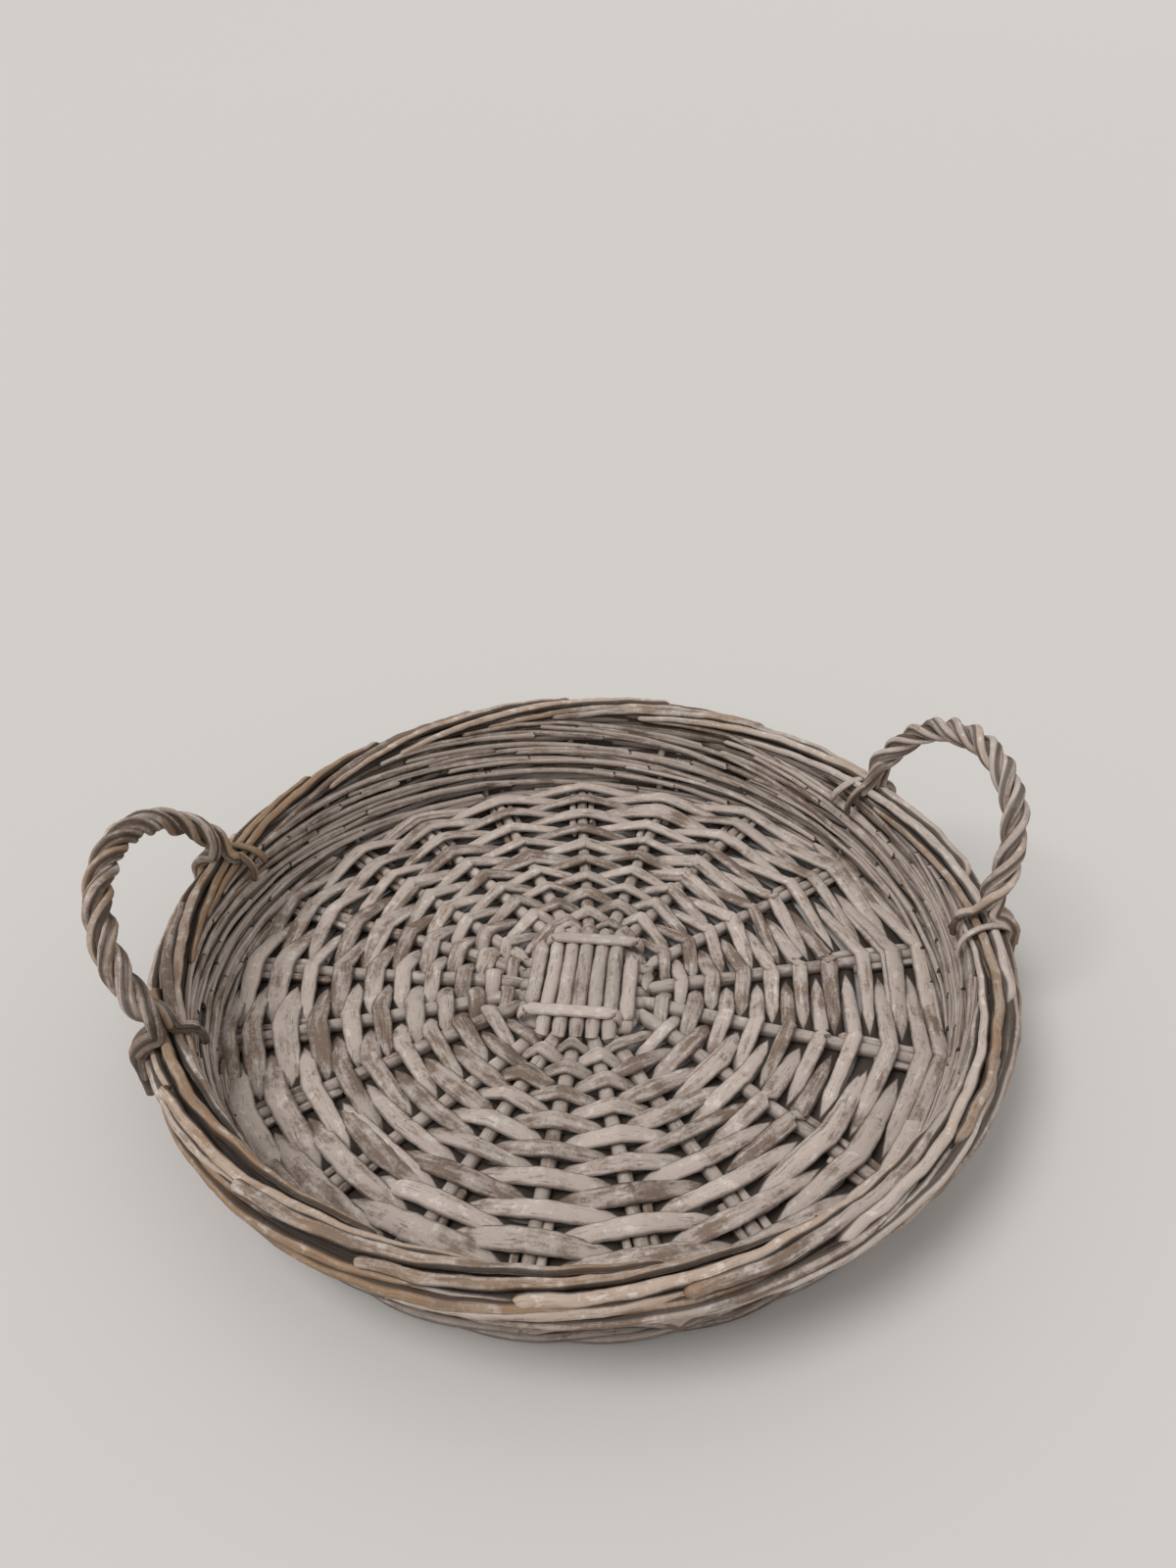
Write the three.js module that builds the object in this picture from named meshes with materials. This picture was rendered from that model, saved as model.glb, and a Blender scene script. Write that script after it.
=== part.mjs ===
// Round wicker tray: a base woven on a cross of sticks, a low woven wall, a rolled border
// and two stiff twisted rope handles. Millimetres, +Z up. The tray stands on z = 0 with the
// middle of its base at the origin, +Y along the upper sticks, +X towards the right handle.

import * as THREE from 'three';

// Base cross: round sticks side by side, one layer over the other
const STICK_DIAMETER = 5.6;
const STICK_SPACING = 6.6;
const STICKS_EACH_WAY = 5;
const CUT_STICK = 2;
const BAR_WIDTH = 6.4;
const STICK_RUNOUT = 1.5;
const STICK_LEVELLING = 3;

// How the stick ends fan out beyond the cross: bearing of a fan's middle, angle between its ends
const FAR_FAN = { bearing: 96.5, step: 17.75 };
const LEFT_FAN = { bearing: 180.5, step: 17.25 };
const NEAR_FAN = { bearing: 268, step: 17.25 };
const RIGHT_FAN = { bearing: 0.5, step: 25.3 };

// Base weave: flat split rods, over one stick and under the next, in one long spiral
const BASE_DIAMETER = 288;
const STRIP_WIDTH = 5.6;
const STRIP_THICKNESS = 1.8;
const STRIP_FLAT = 6;
const ROW_GAP = 0.5;
const BASE_WEAVERS = 6;

// Side stakes: pushed in beside the sticks, bent up at the edge, laid down into the border
const STAKE_DIAMETER = 4;
const STAKE_TUCK = 44;
const STAKE_BEND = 4;
const FOOT_DIAMETER = 4.4;
const FOOT_JOINT_GAP = 5;

// Wall and border
const TRAY_HEIGHT = 45;
const WALL_LEAN = 9;
const WALL_ROD_HEIGHT = 3.2;
const WALL_ROD_THICKNESS = 2.2;
const WALL_ROW_GAP = 0.3;
const WALL_WEAVERS = 8;
const BORDER_WIDTH = 19;
const BORDER_HEIGHT = 14;
const BORDER_ROD_GAP = 0.8;

// Handles: each foot stands on the border, at a place counted in stakes from the +X axis
const RIGHT_HANDLE = { name: 'right', feet: [-0.42, 0.94], rise: 46, tilt: 27 };
const LEFT_HANDLE = { name: 'left', feet: [8.36, 10.55], rise: 43, tilt: 36 };
const STRANDS = 3;
const STRAND_DIAMETER = 4.6;
const STRAND_GAP = 0.6;
const ROPE_LAY = 40;
const HANDLE_BULGE = 0.06;
const TAIL_DROP = 18;
const HITCH_OUTSIDE = { from: 75, to: 0 };
const HITCH_INSIDE = { from: 105, to: 205 };

// Space left between neighbouring rods
const CLEARANCE = 0.3;

// Facets of the round rods, and steps along the curved ones
const STICK_SIDES = 8;
const ROD_SIDES = 5;
const STEPS_PER_BAY = 2;
const STEPS_PER_LAY = 8;
const HITCH_STEPS = 4;
const BAR_BEND_STEPS = 3;
const FOOT_STEPS = 20;

// Finishes: whitewashed willow, worn browner on the border and the handles
const FINISHES = {
  stick: { color: 0xad9f94, roughness: 0.8 },
  strip: { color: 0xa4988c, roughness: 0.85 },
  wall: { color: 0x8d7d72, roughness: 0.85 },
  border: { color: 0x9a8570, roughness: 0.75 },
  rope: { color: 0x95806f, roughness: 0.75 },
};

const tray = new THREE.Group();
const UP = new THREE.Vector3(0, 0, 1);
const radians = THREE.MathUtils.degToRad;
const degrees = THREE.MathUtils.radToDeg;
const lerp = THREE.MathUtils.lerp;

function polar(radius, bearing, z) {
  const turn = radians(bearing);
  return new THREE.Vector3(radius * Math.cos(turn), radius * Math.sin(turn), z);
}

function bearingOf(point) {
  return (degrees(Math.atan2(point.y, point.x)) + 360) % 360;
}

function twoDigits(number) {
  return String(number).padStart(2, '0');
}

// The centreline of a rod. Its section stands upright, keeps a given side, or is carried
// along without twist.
class RodPath extends THREE.Curve {
  constructor(points, { upright = false, side = null } = {}) {
    super();
    this.points = points;
    this.upright = upright;
    this.side = side;
  }

  getPoint(t, target = new THREE.Vector3()) {
    const place = t * (this.points.length - 1);
    const first = Math.min(Math.floor(place), this.points.length - 2);
    return target.lerpVectors(this.points[first], this.points[first + 1], place - first);
  }

  getSpacedPoints() {
    return this.points;
  }

  tangentAtPoint(i) {
    const last = this.points.length - 1;
    const here = this.points[i];
    const into = here.clone().sub(this.points[Math.max(i - 1, 0)]).normalize();
    const out = this.points[Math.min(i + 1, last)].clone().sub(here).normalize();
    return into.add(out).normalize();
  }

  computeFrenetFrames() {
    const tangents = this.points.map((point, i) => this.tangentAtPoint(i));
    const normals = [];
    const binormals = [];
    let carried = Math.abs(tangents[0].z) < 0.9 ? UP : new THREE.Vector3(1, 0, 0);
    for (const tangent of tangents) {
      const wanted = this.upright ? UP : carried;
      const normal = this.side
        ? this.side.clone().cross(tangent)
        : wanted.clone().addScaledVector(tangent, -wanted.dot(tangent));
      normal.normalize();
      normals.push(normal);
      binormals.push(tangent.clone().cross(normal));
      carried = normal;
    }
    return { tangents, normals, binormals };
  }
}

// Sections: x runs from a rod's lower face to its upper face, y from side to side
function roundSection(diameter, sides) {
  const corners = [];
  for (let i = 0; i < sides; i += 1) {
    const turn = ((i + 0.5) * 2 * Math.PI) / sides;
    corners.push(new THREE.Vector2(Math.cos(turn), Math.sin(turn)).multiplyScalar(diameter / 2));
  }
  return new THREE.Shape(corners);
}

function flatSection(height, width) {
  const x = height / 2;
  const y = width / 2;
  const corners = [[-x, -y], [x, -y], [x, y], [-x, y]];
  return new THREE.Shape(corners.map((corner) => new THREE.Vector2(...corner)));
}

function addRod(name, points, section, finish, hold = {}) {
  const extrudePath = new RodPath(points, hold);
  const geometry = new THREE.ExtrudeGeometry(section, { steps: points.length - 1, extrudePath });
  const material = new THREE.MeshStandardMaterial({ ...FINISHES[finish], metalness: 0 });
  const rod = new THREE.Mesh(geometry, material);
  rod.name = name;
  tray.add(rod);
}

// Levels: the lower sticks of the cross lie on z = 0, and so do strips that pass under a stick
const stickRadius = STICK_DIAMETER / 2;
const stickHalfHeight = stickRadius * Math.cos(Math.PI / STICK_SIDES);
const lowerLevel = stickHalfHeight;
const upperLevel = lowerLevel + 2 * stickHalfHeight + CLEARANCE;
const stripRise = stickRadius + CLEARANCE + STRIP_THICKNESS / 2;
const weaveLevel = stripRise + STRIP_THICKNESS / 2;

// Plan of the cross and of the bars that bind it
const outerStick = ((STICKS_EACH_WAY - 1) / 2) * STICK_SPACING;
const barWrap = stickRadius + CLEARANCE + STRIP_THICKNESS / 2;
const barReach = outerStick + barWrap + STRIP_THICKNESS / 2;
const sideBarMiddle = outerStick + stickRadius + CLEARANCE + BAR_WIDTH / 2;
const sideExit = sideBarMiddle + BAR_WIDTH / 2 + STICK_RUNOUT;
const endBarMiddle = barReach + CLEARANCE + BAR_WIDTH / 2;
const endExit = endBarMiddle + BAR_WIDTH / 2 + STICK_RUNOUT;

// Plan of the base weave, which starts where the sticks are level and clear of the bars' corners
const barCorner = Math.hypot(barReach, endBarMiddle + BAR_WIDTH / 2);
const cornerBay = Math.atan2(endExit, outerStick) - Math.atan2(outerStick, sideExit);
const levelReach = Math.hypot(outerStick, endExit) + STICK_LEVELLING;
const cornerEdge = (barCorner + CLEARANCE) / Math.cos(cornerBay / 2);
const firstEdge = Math.max(levelReach + stickRadius, cornerEdge);
const firstRow = firstEdge + STRIP_WIDTH / 2;
const lastRow = BASE_DIAMETER / 2 - STRIP_WIDTH / 2;
const baseTurns = Math.floor((lastRow - firstRow) / (STRIP_WIDTH + ROW_GAP));
const rowPitch = (lastRow - firstRow) / baseTurns;
const stickEnd = BASE_DIAMETER / 2;

// Plan and levels of the wall and the border
const stakeRadius = STAKE_DIAMETER / 2;
const stakeOffset = stickRadius + CLEARANCE + stakeRadius;
const borderLevel = TRAY_HEIGHT - BORDER_HEIGHT / 2;
const rollReach = BORDER_WIDTH / 2 - stakeRadius;
const rollRise = BORDER_HEIGHT / 2 - stakeRadius;
const borderUnderside = borderLevel - rollRise;
const uprightFoot = weaveLevel + STAKE_BEND;
const uprightTop = borderUnderside - STAKE_BEND;
const leanAngle = Math.atan2(WALL_LEAN, uprightTop - uprightFoot);
const leanRoom = stakeRadius / Math.cos(leanAngle) + (WALL_ROD_HEIGHT / 2) * Math.tan(leanAngle);
const wallRise = leanRoom + CLEARANCE + WALL_ROD_THICKNESS / 2;
const wallInset = wallRise + WALL_ROD_THICKNESS / 2 + CLEARANCE;
const wallFoot = BASE_DIAMETER / 2 + CLEARANCE + Math.max(STAKE_BEND, wallInset);
const stakeStart = wallFoot - STAKE_TUCK;
const borderRadius = wallFoot + WALL_LEAN;

function wallRadius(z) {
  return wallFoot + (z - uprightFoot) * Math.tan(leanAngle);
}

// One end of a base stick, on a straight line from the cross to the base edge
function makeSpoke(exit, bearing) {
  const along = polar(stickEnd, bearing, 0).sub(exit).normalize();
  const nearest = exit.clone().addScaledVector(along, -exit.dot(along));
  const side = UP.clone().cross(along);
  const at = (radius) => {
    const reach = Math.sqrt(Math.max(radius ** 2 - nearest.lengthSq(), 0));
    return nearest.clone().addScaledVector(along, reach);
  };
  const line = (level) => [
    exit.clone().setZ(level),
    at(levelReach).setZ(weaveLevel),
    at(stickEnd).setZ(weaveLevel),
  ];
  return { at, side, line, bearing: (bearing + 360) % 360 };
}

function fanBearing(fan, place, count) {
  return fan.bearing + (place - (count - 1) / 2) * fan.step;
}

const stickSection = roundSection(STICK_DIAMETER, STICK_SIDES);
const spokes = [];

function addUpperSticks() {
  for (let i = 0; i < STICKS_EACH_WAY; i += 1) {
    const x = i * STICK_SPACING - outerStick;
    const farPlace = STICKS_EACH_WAY - 1 - i;
    const farBearing = fanBearing(FAR_FAN, farPlace, STICKS_EACH_WAY);
    const nearBearing = fanBearing(NEAR_FAN, i, STICKS_EACH_WAY);
    const far = makeSpoke(new THREE.Vector3(x, endExit, 0), farBearing);
    const near = makeSpoke(new THREE.Vector3(x, -endExit, 0), nearBearing);
    spokes.push(far, near);
    const points = [...near.line(upperLevel).reverse(), ...far.line(upperLevel)];
    addRod(`base_stick_over_${i + 1}`, points, stickSection, 'stick', { upright: true });
  }
}

// One lower stick stops short on the right, which leaves an odd number of ends to weave round
function addLowerSticks() {
  let rightPlace = STICKS_EACH_WAY - 2;
  for (let i = 0; i < STICKS_EACH_WAY; i += 1) {
    const y = outerStick - i * STICK_SPACING;
    const leftBearing = fanBearing(LEFT_FAN, i, STICKS_EACH_WAY);
    const left = makeSpoke(new THREE.Vector3(-sideExit, y, 0), leftBearing);
    spokes.push(left);
    const points = left.line(lowerLevel).reverse();
    const exit = new THREE.Vector3(sideExit, y, 0);
    if (i + 1 === CUT_STICK) {
      points.push(exit.setZ(lowerLevel));
    } else {
      const right = makeSpoke(exit, fanBearing(RIGHT_FAN, rightPlace, STICKS_EACH_WAY - 1));
      spokes.push(right);
      points.push(...right.line(lowerLevel));
      rightPlace -= 1;
    }
    addRod(`base_stick_under_${i + 1}`, points, stickSection, 'stick', { upright: true });
  }
}

// Bars that bind the cross: each lies over one side's sticks and is turned down at both ends
function addBar(name, place, along, level) {
  const side = UP.clone().cross(along);
  const outline = [[outerStick + barWrap, STRIP_THICKNESS]];
  for (let step = 0; step <= BAR_BEND_STEPS; step += 1) {
    const turn = (step / BAR_BEND_STEPS) * (Math.PI / 2);
    outline.push([outerStick + barWrap * Math.cos(turn), level + barWrap * Math.sin(turn)]);
  }
  const half = outline.map(([run, z]) => [along.clone().multiplyScalar(run), z]);
  const points = [
    ...half.map(([run, z]) => place.clone().sub(run).setZ(z)),
    ...half.reverse().map(([run, z]) => place.clone().add(run).setZ(z)),
  ];
  addRod(name, points, flatSection(STRIP_THICKNESS, BAR_WIDTH), 'strip', { side });
}

function addBars() {
  const alongX = new THREE.Vector3(1, 0, 0);
  const alongY = new THREE.Vector3(0, 1, 0);
  addBar('slath_bar_far', new THREE.Vector3(0, endBarMiddle, 0), alongX, upperLevel);
  addBar('slath_bar_near', new THREE.Vector3(0, -endBarMiddle, 0), alongX, upperLevel);
  addBar('slath_bar_left', new THREE.Vector3(-sideBarMiddle, 0, 0), alongY, lowerLevel);
  addBar('slath_bar_right', new THREE.Vector3(sideBarMiddle, 0, 0), alongY, lowerLevel);
}

// Where the spiral of the base weave lies flat over or under a stick and any stake beside it
function baseCrossing(k) {
  const spoke = spokes[(k + spokes.length) % spokes.length];
  const radius = firstRow + (rowPitch * k) / spokes.length;
  const staked = radius + STRIP_WIDTH / 2 > stakeStart - CLEARANCE;
  const middle = spoke.at(radius).setZ(weaveLevel + (k % 2 ? -stripRise : stripRise));
  const past = STRIP_FLAT / 2 + (staked ? stakeOffset : 0);
  return [
    middle.clone().addScaledVector(spoke.side, -STRIP_FLAT / 2),
    middle.clone().addScaledVector(spoke.side, past),
  ];
}

// A weaver through a run of crossings, with its ends cut in the bays before and after
function weaverPoints(crossing, first, last) {
  const endShare = 0.42;
  const points = [];
  for (let k = first; k <= last; k += 1) {
    points.push(...crossing(k));
  }
  points.unshift(crossing(first - 1)[1].lerp(points[0], 1 - endShare));
  points.push(points[points.length - 1].clone().lerp(crossing(last + 1)[0], endShare));
  return points;
}

function addWeavers(name, count, crossings, crossing, section, finish) {
  const each = Math.ceil(crossings / count);
  for (let i = 0; i * each < crossings; i += 1) {
    const last = Math.min((i + 1) * each, crossings) - 1;
    const points = weaverPoints(crossing, i * each, last);
    addRod(`${name}_${i + 1}`, points, section, finish, { upright: true });
  }
}

function addBaseWeavers() {
  const section = flatSection(STRIP_THICKNESS, STRIP_WIDTH);
  addWeavers('base_weaver', BASE_WEAVERS, baseTurns * spokes.length, baseCrossing, section, 'strip');
}

// Stakes: where each one stands at the wall, and the roll that their upper ends follow
addUpperSticks();
addLowerSticks();
spokes.sort((a, b) => a.bearing - b.bearing);
const stakeBearings = spokes.map((spoke) =>
  bearingOf(spoke.at(wallFoot).addScaledVector(spoke.side, stakeOffset)),
);
const roll = new THREE.EllipseCurve(0, 0, rollReach, rollRise, -Math.PI / 2, 1.5 * Math.PI);
const rollPlaces = Math.floor(roll.getLength() / (STAKE_DIAMETER + BORDER_ROD_GAP));

// Bearing of a place counted in stakes, where whole numbers are stakes
function bearingAt(place) {
  const count = stakeBearings.length;
  const whole = Math.floor(place);
  const stand = (i) => stakeBearings[((i % count) + count) % count] + 360 * Math.floor(i / count);
  return lerp(stand(whole), stand(whole + 1), place - whole);
}

function borderPoint(stake, run) {
  const across = roll.getPointAt(run / rollPlaces);
  return polar(borderRadius + across.x, bearingAt(stake + run), borderLevel + across.y);
}

function stakePoints(stake) {
  const spoke = spokes[stake];
  const beside = (radius, z) =>
    spoke.at(radius).addScaledVector(spoke.side, stakeOffset).setZ(z);
  const bend = (share) => STAKE_BEND * (1 - Math.cos((share * Math.PI) / 2));
  const bay = radians(bearingAt(stake + 1) - bearingAt(stake)) * borderRadius;
  const turned = STAKE_BEND / bay;
  const points = [
    beside(stakeStart, weaveLevel),
    beside(wallFoot - STAKE_BEND, weaveLevel),
    beside(wallFoot - bend(0.5), weaveLevel + bend(0.5)),
    beside(wallFoot, uprightFoot),
    polar(borderRadius, bearingAt(stake), uprightTop),
    borderPoint(stake, turned * (bend(0.5) / STAKE_BEND)).setZ(borderUnderside - bend(0.5)),
    borderPoint(stake, turned),
  ];
  const steps = STEPS_PER_BAY * rollPlaces - 1;
  for (let i = 1; i <= steps; i += 1) {
    points.push(borderPoint(stake, i / STEPS_PER_BAY));
  }
  return points;
}

function addStakes() {
  const section = roundSection(STAKE_DIAMETER, ROD_SIDES);
  for (let i = 0; i < spokes.length; i += 1) {
    addRod(`stake_${twoDigits(i + 1)}`, stakePoints(i), section, 'border');
  }
}

// Foot rods: two half rounds tucked under the bends of the stakes
function addFootRods() {
  const section = roundSection(FOOT_DIAMETER, STICK_SIDES);
  const level = (FOOT_DIAMETER / 2) * Math.cos(Math.PI / STICK_SIDES);
  const fromBend = STAKE_BEND + stakeRadius + CLEARANCE + FOOT_DIAMETER / 2;
  const drop = uprightFoot - level;
  const radius = wallFoot - STAKE_BEND + Math.sqrt(Math.max(fromBend ** 2 - drop ** 2, 0));
  const span = 180 - degrees(FOOT_JOINT_GAP / radius);
  for (let i = 0; i < 2; i += 1) {
    const points = [];
    for (let step = 0; step <= FOOT_STEPS; step += 1) {
      points.push(polar(radius, 180 * i + (span * step) / FOOT_STEPS, level));
    }
    addRod(`foot_rod_${i + 1}`, points, section, 'wall', { upright: true });
  }
}

// Wall weavers: in and out of the stakes, climbing from the bends to just below the border
const wallStart = uprightFoot + CLEARANCE + WALL_ROD_HEIGHT / 2;
const wallEnd = uprightTop - CLEARANCE - WALL_ROD_HEIGHT / 2;
const wallTurns = (wallEnd - wallStart) / (WALL_ROD_HEIGHT + WALL_ROW_GAP);

function wallCrossing(k) {
  const z = wallStart + ((WALL_ROD_HEIGHT + WALL_ROW_GAP) * k) / spokes.length;
  const radius = wallRadius(z) + (k % 2 ? -wallRise : wallRise);
  const reach = degrees(stakeRadius / radius);
  const bearing = bearingAt(k);
  return [polar(radius, bearing - reach, z), polar(radius, bearing + reach, z)];
}

function addWallWeavers() {
  const section = flatSection(WALL_ROD_HEIGHT, WALL_ROD_THICKNESS);
  const crossings = Math.floor(wallTurns * spokes.length);
  addWeavers('wall_weaver', WALL_WEAVERS, crossings, wallCrossing, section, 'wall');
}

// Handles: three strands laid into a rope that arches up and out from the top of the border
const strandRadius = STRAND_DIAMETER / 2;
const looseLay = (STRAND_DIAMETER + STRAND_GAP) / (2 * Math.sin(Math.PI / STRANDS));
const layRadius = looseLay * Math.hypot(1, (2 * Math.PI * looseLay) / ROPE_LAY);
const footLevel = TRAY_HEIGHT + CLEARANCE + strandRadius + layRadius;

class RopeAxis extends THREE.Curve {
  constructor([first, second], height, lean) {
    super();
    const tilt = radians(lean);
    const out = polar(1, (first + second) / 2, 0);
    const ends = [first, second].map((bearing) => polar(borderRadius, bearing, footLevel));
    this.centre = ends[0].clone().lerp(ends[1], 0.5);
    this.half = ends[0].clone().sub(this.centre);
    this.rise = UP.clone().multiplyScalar(Math.cos(tilt)).addScaledVector(out, Math.sin(tilt));
    this.rise.multiplyScalar(height);
    this.outward = out.clone().multiplyScalar(Math.cos(tilt)).addScaledVector(UP, -Math.sin(tilt));
  }

  getPoint(t, target = new THREE.Vector3()) {
    const turn = t * Math.PI;
    const aside = Math.cos(turn) * (1 + HANDLE_BULGE * Math.sin(turn));
    target.copy(this.centre).addScaledVector(this.half, aside);
    return target.addScaledVector(this.rise, Math.sin(turn));
  }
}

// Below the rope the strands part and straddle the border: one inside, the others outside
const widestBay = Math.max(...stakeBearings.map((bearing, i) => bearingAt(i + 1) - bearingAt(i)));
const borderSag = borderRadius * (1 - Math.cos(radians(widestBay / STEPS_PER_BAY / 2)));
const hitchReach = BORDER_WIDTH / 2 + borderSag + CLEARANCE + strandRadius;
const hitchRise = BORDER_HEIGHT / 2 + CLEARANCE + strandRadius;

function hitchPoints(bearing, lay, inward) {
  const out = polar(1, bearing, 0);
  const aside = UP.clone().cross(out);
  const shift = inward * layRadius * Math.sin(lay);
  const place = (reach, rise) =>
    out.clone().multiplyScalar(borderRadius + reach).addScaledVector(aside, shift)
      .setZ(borderLevel + rise);
  const outside = Math.cos(lay) > 0;
  const { from, to } = outside ? HITCH_OUTSIDE : HITCH_INSIDE;
  const points = [];
  for (let i = 0; i <= HITCH_STEPS; i += 1) {
    const turn = radians(lerp(from, to, i / HITCH_STEPS));
    points.push(place(hitchReach * Math.cos(turn), hitchRise * Math.sin(turn)));
  }
  if (outside) {
    points.push(place(hitchReach, -TAIL_DROP));
  }
  return points;
}

function addHandle({ name, feet, rise, tilt }) {
  const bearings = feet.map(bearingAt);
  const axis = new RopeAxis(bearings, rise, tilt);
  const turns = Math.round(axis.getLength() / ROPE_LAY);
  const steps = turns * STEPS_PER_LAY;
  const section = roundSection(STRAND_DIAMETER, ROD_SIDES);
  for (let strand = 0; strand < STRANDS; strand += 1) {
    const lay = Math.PI * (1 + (2 * strand) / STRANDS);
    const points = hitchPoints(bearings[0], lay, 1).reverse();
    for (let i = 0; i <= steps; i += 1) {
      const turn = lay + (2 * Math.PI * turns * i) / steps;
      const sideways = axis.getTangentAt(i / steps).cross(axis.outward);
      const point = axis.getPointAt(i / steps);
      point.addScaledVector(axis.outward, layRadius * Math.cos(turn));
      points.push(point.addScaledVector(sideways, layRadius * Math.sin(turn)));
    }
    points.push(...hitchPoints(bearings[1], lay, -1));
    addRod(`handle_${name}_strand_${strand + 1}`, points, section, 'rope');
  }
}

addBars();
addBaseWeavers();
addStakes();
addFootRods();
addWallWeavers();
addHandle(RIGHT_HANDLE);
addHandle(LEFT_HANDLE);

export default tray;
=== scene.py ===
"""Looks of a round wicker tray: every stick, strip, stake, border rod and rope handle in whitewashed willow.

The rods' centrelines are worked out from the plan of the weave, and one geometry node tree sweeps them.
Metres and degrees, +Z up, in the frame of the tray's solids.
"""

import math
from collections import namedtuple

import bpy
import numpy as np
from mathutils import Matrix


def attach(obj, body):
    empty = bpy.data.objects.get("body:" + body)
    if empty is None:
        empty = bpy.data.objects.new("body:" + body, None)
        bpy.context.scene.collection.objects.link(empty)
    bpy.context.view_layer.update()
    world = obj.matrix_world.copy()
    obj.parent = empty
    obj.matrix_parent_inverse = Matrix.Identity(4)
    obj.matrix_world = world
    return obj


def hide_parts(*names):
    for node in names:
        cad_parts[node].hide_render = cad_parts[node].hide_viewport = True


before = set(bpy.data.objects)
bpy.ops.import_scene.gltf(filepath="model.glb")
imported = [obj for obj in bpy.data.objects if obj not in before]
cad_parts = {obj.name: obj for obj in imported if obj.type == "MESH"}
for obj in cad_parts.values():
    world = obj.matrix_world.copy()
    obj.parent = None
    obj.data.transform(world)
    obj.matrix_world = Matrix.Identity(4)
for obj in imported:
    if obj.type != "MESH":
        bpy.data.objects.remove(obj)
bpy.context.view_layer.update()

bl_info = {
    "name": "Wicker tray",
    "version": (1, 0, 0),
    "blender": (4, 5, 0),
    "location": "3D View > Sidebar > Tray",
    "description": "Dresses the solids of a round wicker tray in whitewashed willow",
    "category": "Object",
}

SEED = 7
BODY = "root"
UPRIGHT = np.array([0.0, 0.0, 1.0])
FLAT = np.array([1.0, 1.0, 0.0])
KNOB_SCALE = 160.0

# Rods are flattened at the floor. The bounds in X and Y lie far outside the tray
LOWEST_POINT = (-1.0, -1.0, 0.0)

# Plan of the base cross and of the fans that its stick ends make: middle bearing, angle between ends
STICKS_EACH_WAY = 5
CUT_STICK = 2
FAR_FAN = (96.5, 17.75)
LEFT_FAN = (180.5, 17.25)
NEAR_FAN = (268.0, 17.25)
RIGHT_FAN = (0.5, 25.3)
END_EXIT = 0.0263
SIDE_EXIT = 0.0242
STICK_LEVELLING = 0.006
STICK_BUTT = 1.15
STICK_TAPER = 0.24

# Bars that bind the cross, and the strips under its corners
END_BAR = 0.0216
SIDE_BAR = 0.0195
BAR_WRAP = 0.0037
BAR_EXTRA = 0.0060
BAR_WIDTH = 0.0064
END_BAR_DEPTH = 0.0028
SIDE_BAR_DEPTH = 0.0044
SIDE_BAR_LIFT = 0.0012
CORNER_WIDTH = 0.0075
CORNER_DEPTH = 0.0026
SPLIT_UNDERSIDE = 0.5

# Levels and radii of the base
LOWER_LEVEL = 0.0034
UPPER_LEVEL = 0.0089
WEAVE_LEVEL = 0.0049
BASE_RADIUS = 0.1437
FIRST_ROW_GAP = 0.0038
LAST_ROW = 0.1434
STAKE_START = 0.106
SECOND_STAKE_START = 0.116

# Strips of the base: how they lie at a crossing, how they start and end, the bearing where they are widest
ROW_DRIFT = 0.00035
ROW_LIFT = 0.00015
STRIP_PAIRS = (6, 13)
STRIP_CLEARANCE = 0.0010
LOWEST_CROSSING = 0.0019
INNER_FLAT = 0.0010
OUTER_FLAT = 0.0014
FLAT_GROWS_FROM = 0.035
FLAT_GROWS_OVER = 0.02
START_SHIFT = -0.0014
START_SINK = 0.0008
END_SHIFT = 0.0008
POINT_LENGTH = 0.009
POINT_WIDTH = 0.35
WIDE_STRIPS = 240.0
STRIP_UNDERSIDE = 0.3
INNER_STRIPS = 0.6

# Wall: its plan, its woven rods, the long rods that line it, the rings inside it that are dark all over as
# painted shade in its gaps, and the foot rods
WALL_FOOT = 0.150
WALL_LOW = 0.0089
WALL_HIGH = 0.0290
WALL_TOP = 0.0385
WALL_LEAN = 0.258
WALL_SINK = 0.0022
WALL_PITCH = 0.52
WALL_ROD_DEPTH = 0.0028
WALL_ROD_ROLL = 9
LINING_RODS = 144
LINING_DEPTH = 0.0022
LINING_SPREAD = 0.618
LOW_LINING_EVERY = 8
RING_START = 0.002
RING_STEP = 0.0034
RING_HEIGHT = 0.005
RING_DEPTH = 0.0007
CUT_LENGTH = 0.001
CUT_DARKNESS = 0.8
FOOT_RING = 0.1506
FOOT_RING_LEVEL = 0.0027
FOOT_TWIST = 14
FOOT_TWIST_RADIUS = 0.0010

# Border: the roll that its rods follow, how far the far side stands out and up, the bend of the stakes
BORDER_RADIUS = 0.159
BORDER_LEVEL = 0.038
ROLL_REACH = 0.0072
ROLL_RISE = 0.0047
FAR_REACH = 0.003
FAR_RISE = 0.005
BEND_START = 0.012
BEND_MIDDLE = 0.003
BEND_LIFT = 0.0004

# A laid stake: places counted in stakes, turns over the roll, and how proud of the roll it lies
LAID_PLACES = np.array([0.03, 0.15, 0.5, 1.0, 1.5, 2.0, 2.5, 2.95])
LAID_TURNS = np.array([57, 64, 71, 86, 103, 121, 141, 160])
LAID_PROUD = np.array([7, 9, 8, 6, 5, 3, 0, -7]) * 1e-4
PROUD_SPREAD = (-4e-4, 5e-4)

# Other border rods: layers of climbing rods by first place and proudness, thin rods below, rods inside that
# are dark all over as painted shade
CLIMBING_LAYERS = ((0.0, 0.0), (0.5, -0.0018))
CLIMB_START = -98
CLIMB_SWEEP = 152
CLIMB_SINK = 0.0026
LONG_ROD_TURN = -124
CORE_TURNS = (-70, -25, 20, 65, 110, 150)
CORE_GROW = -0.0038

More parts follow.
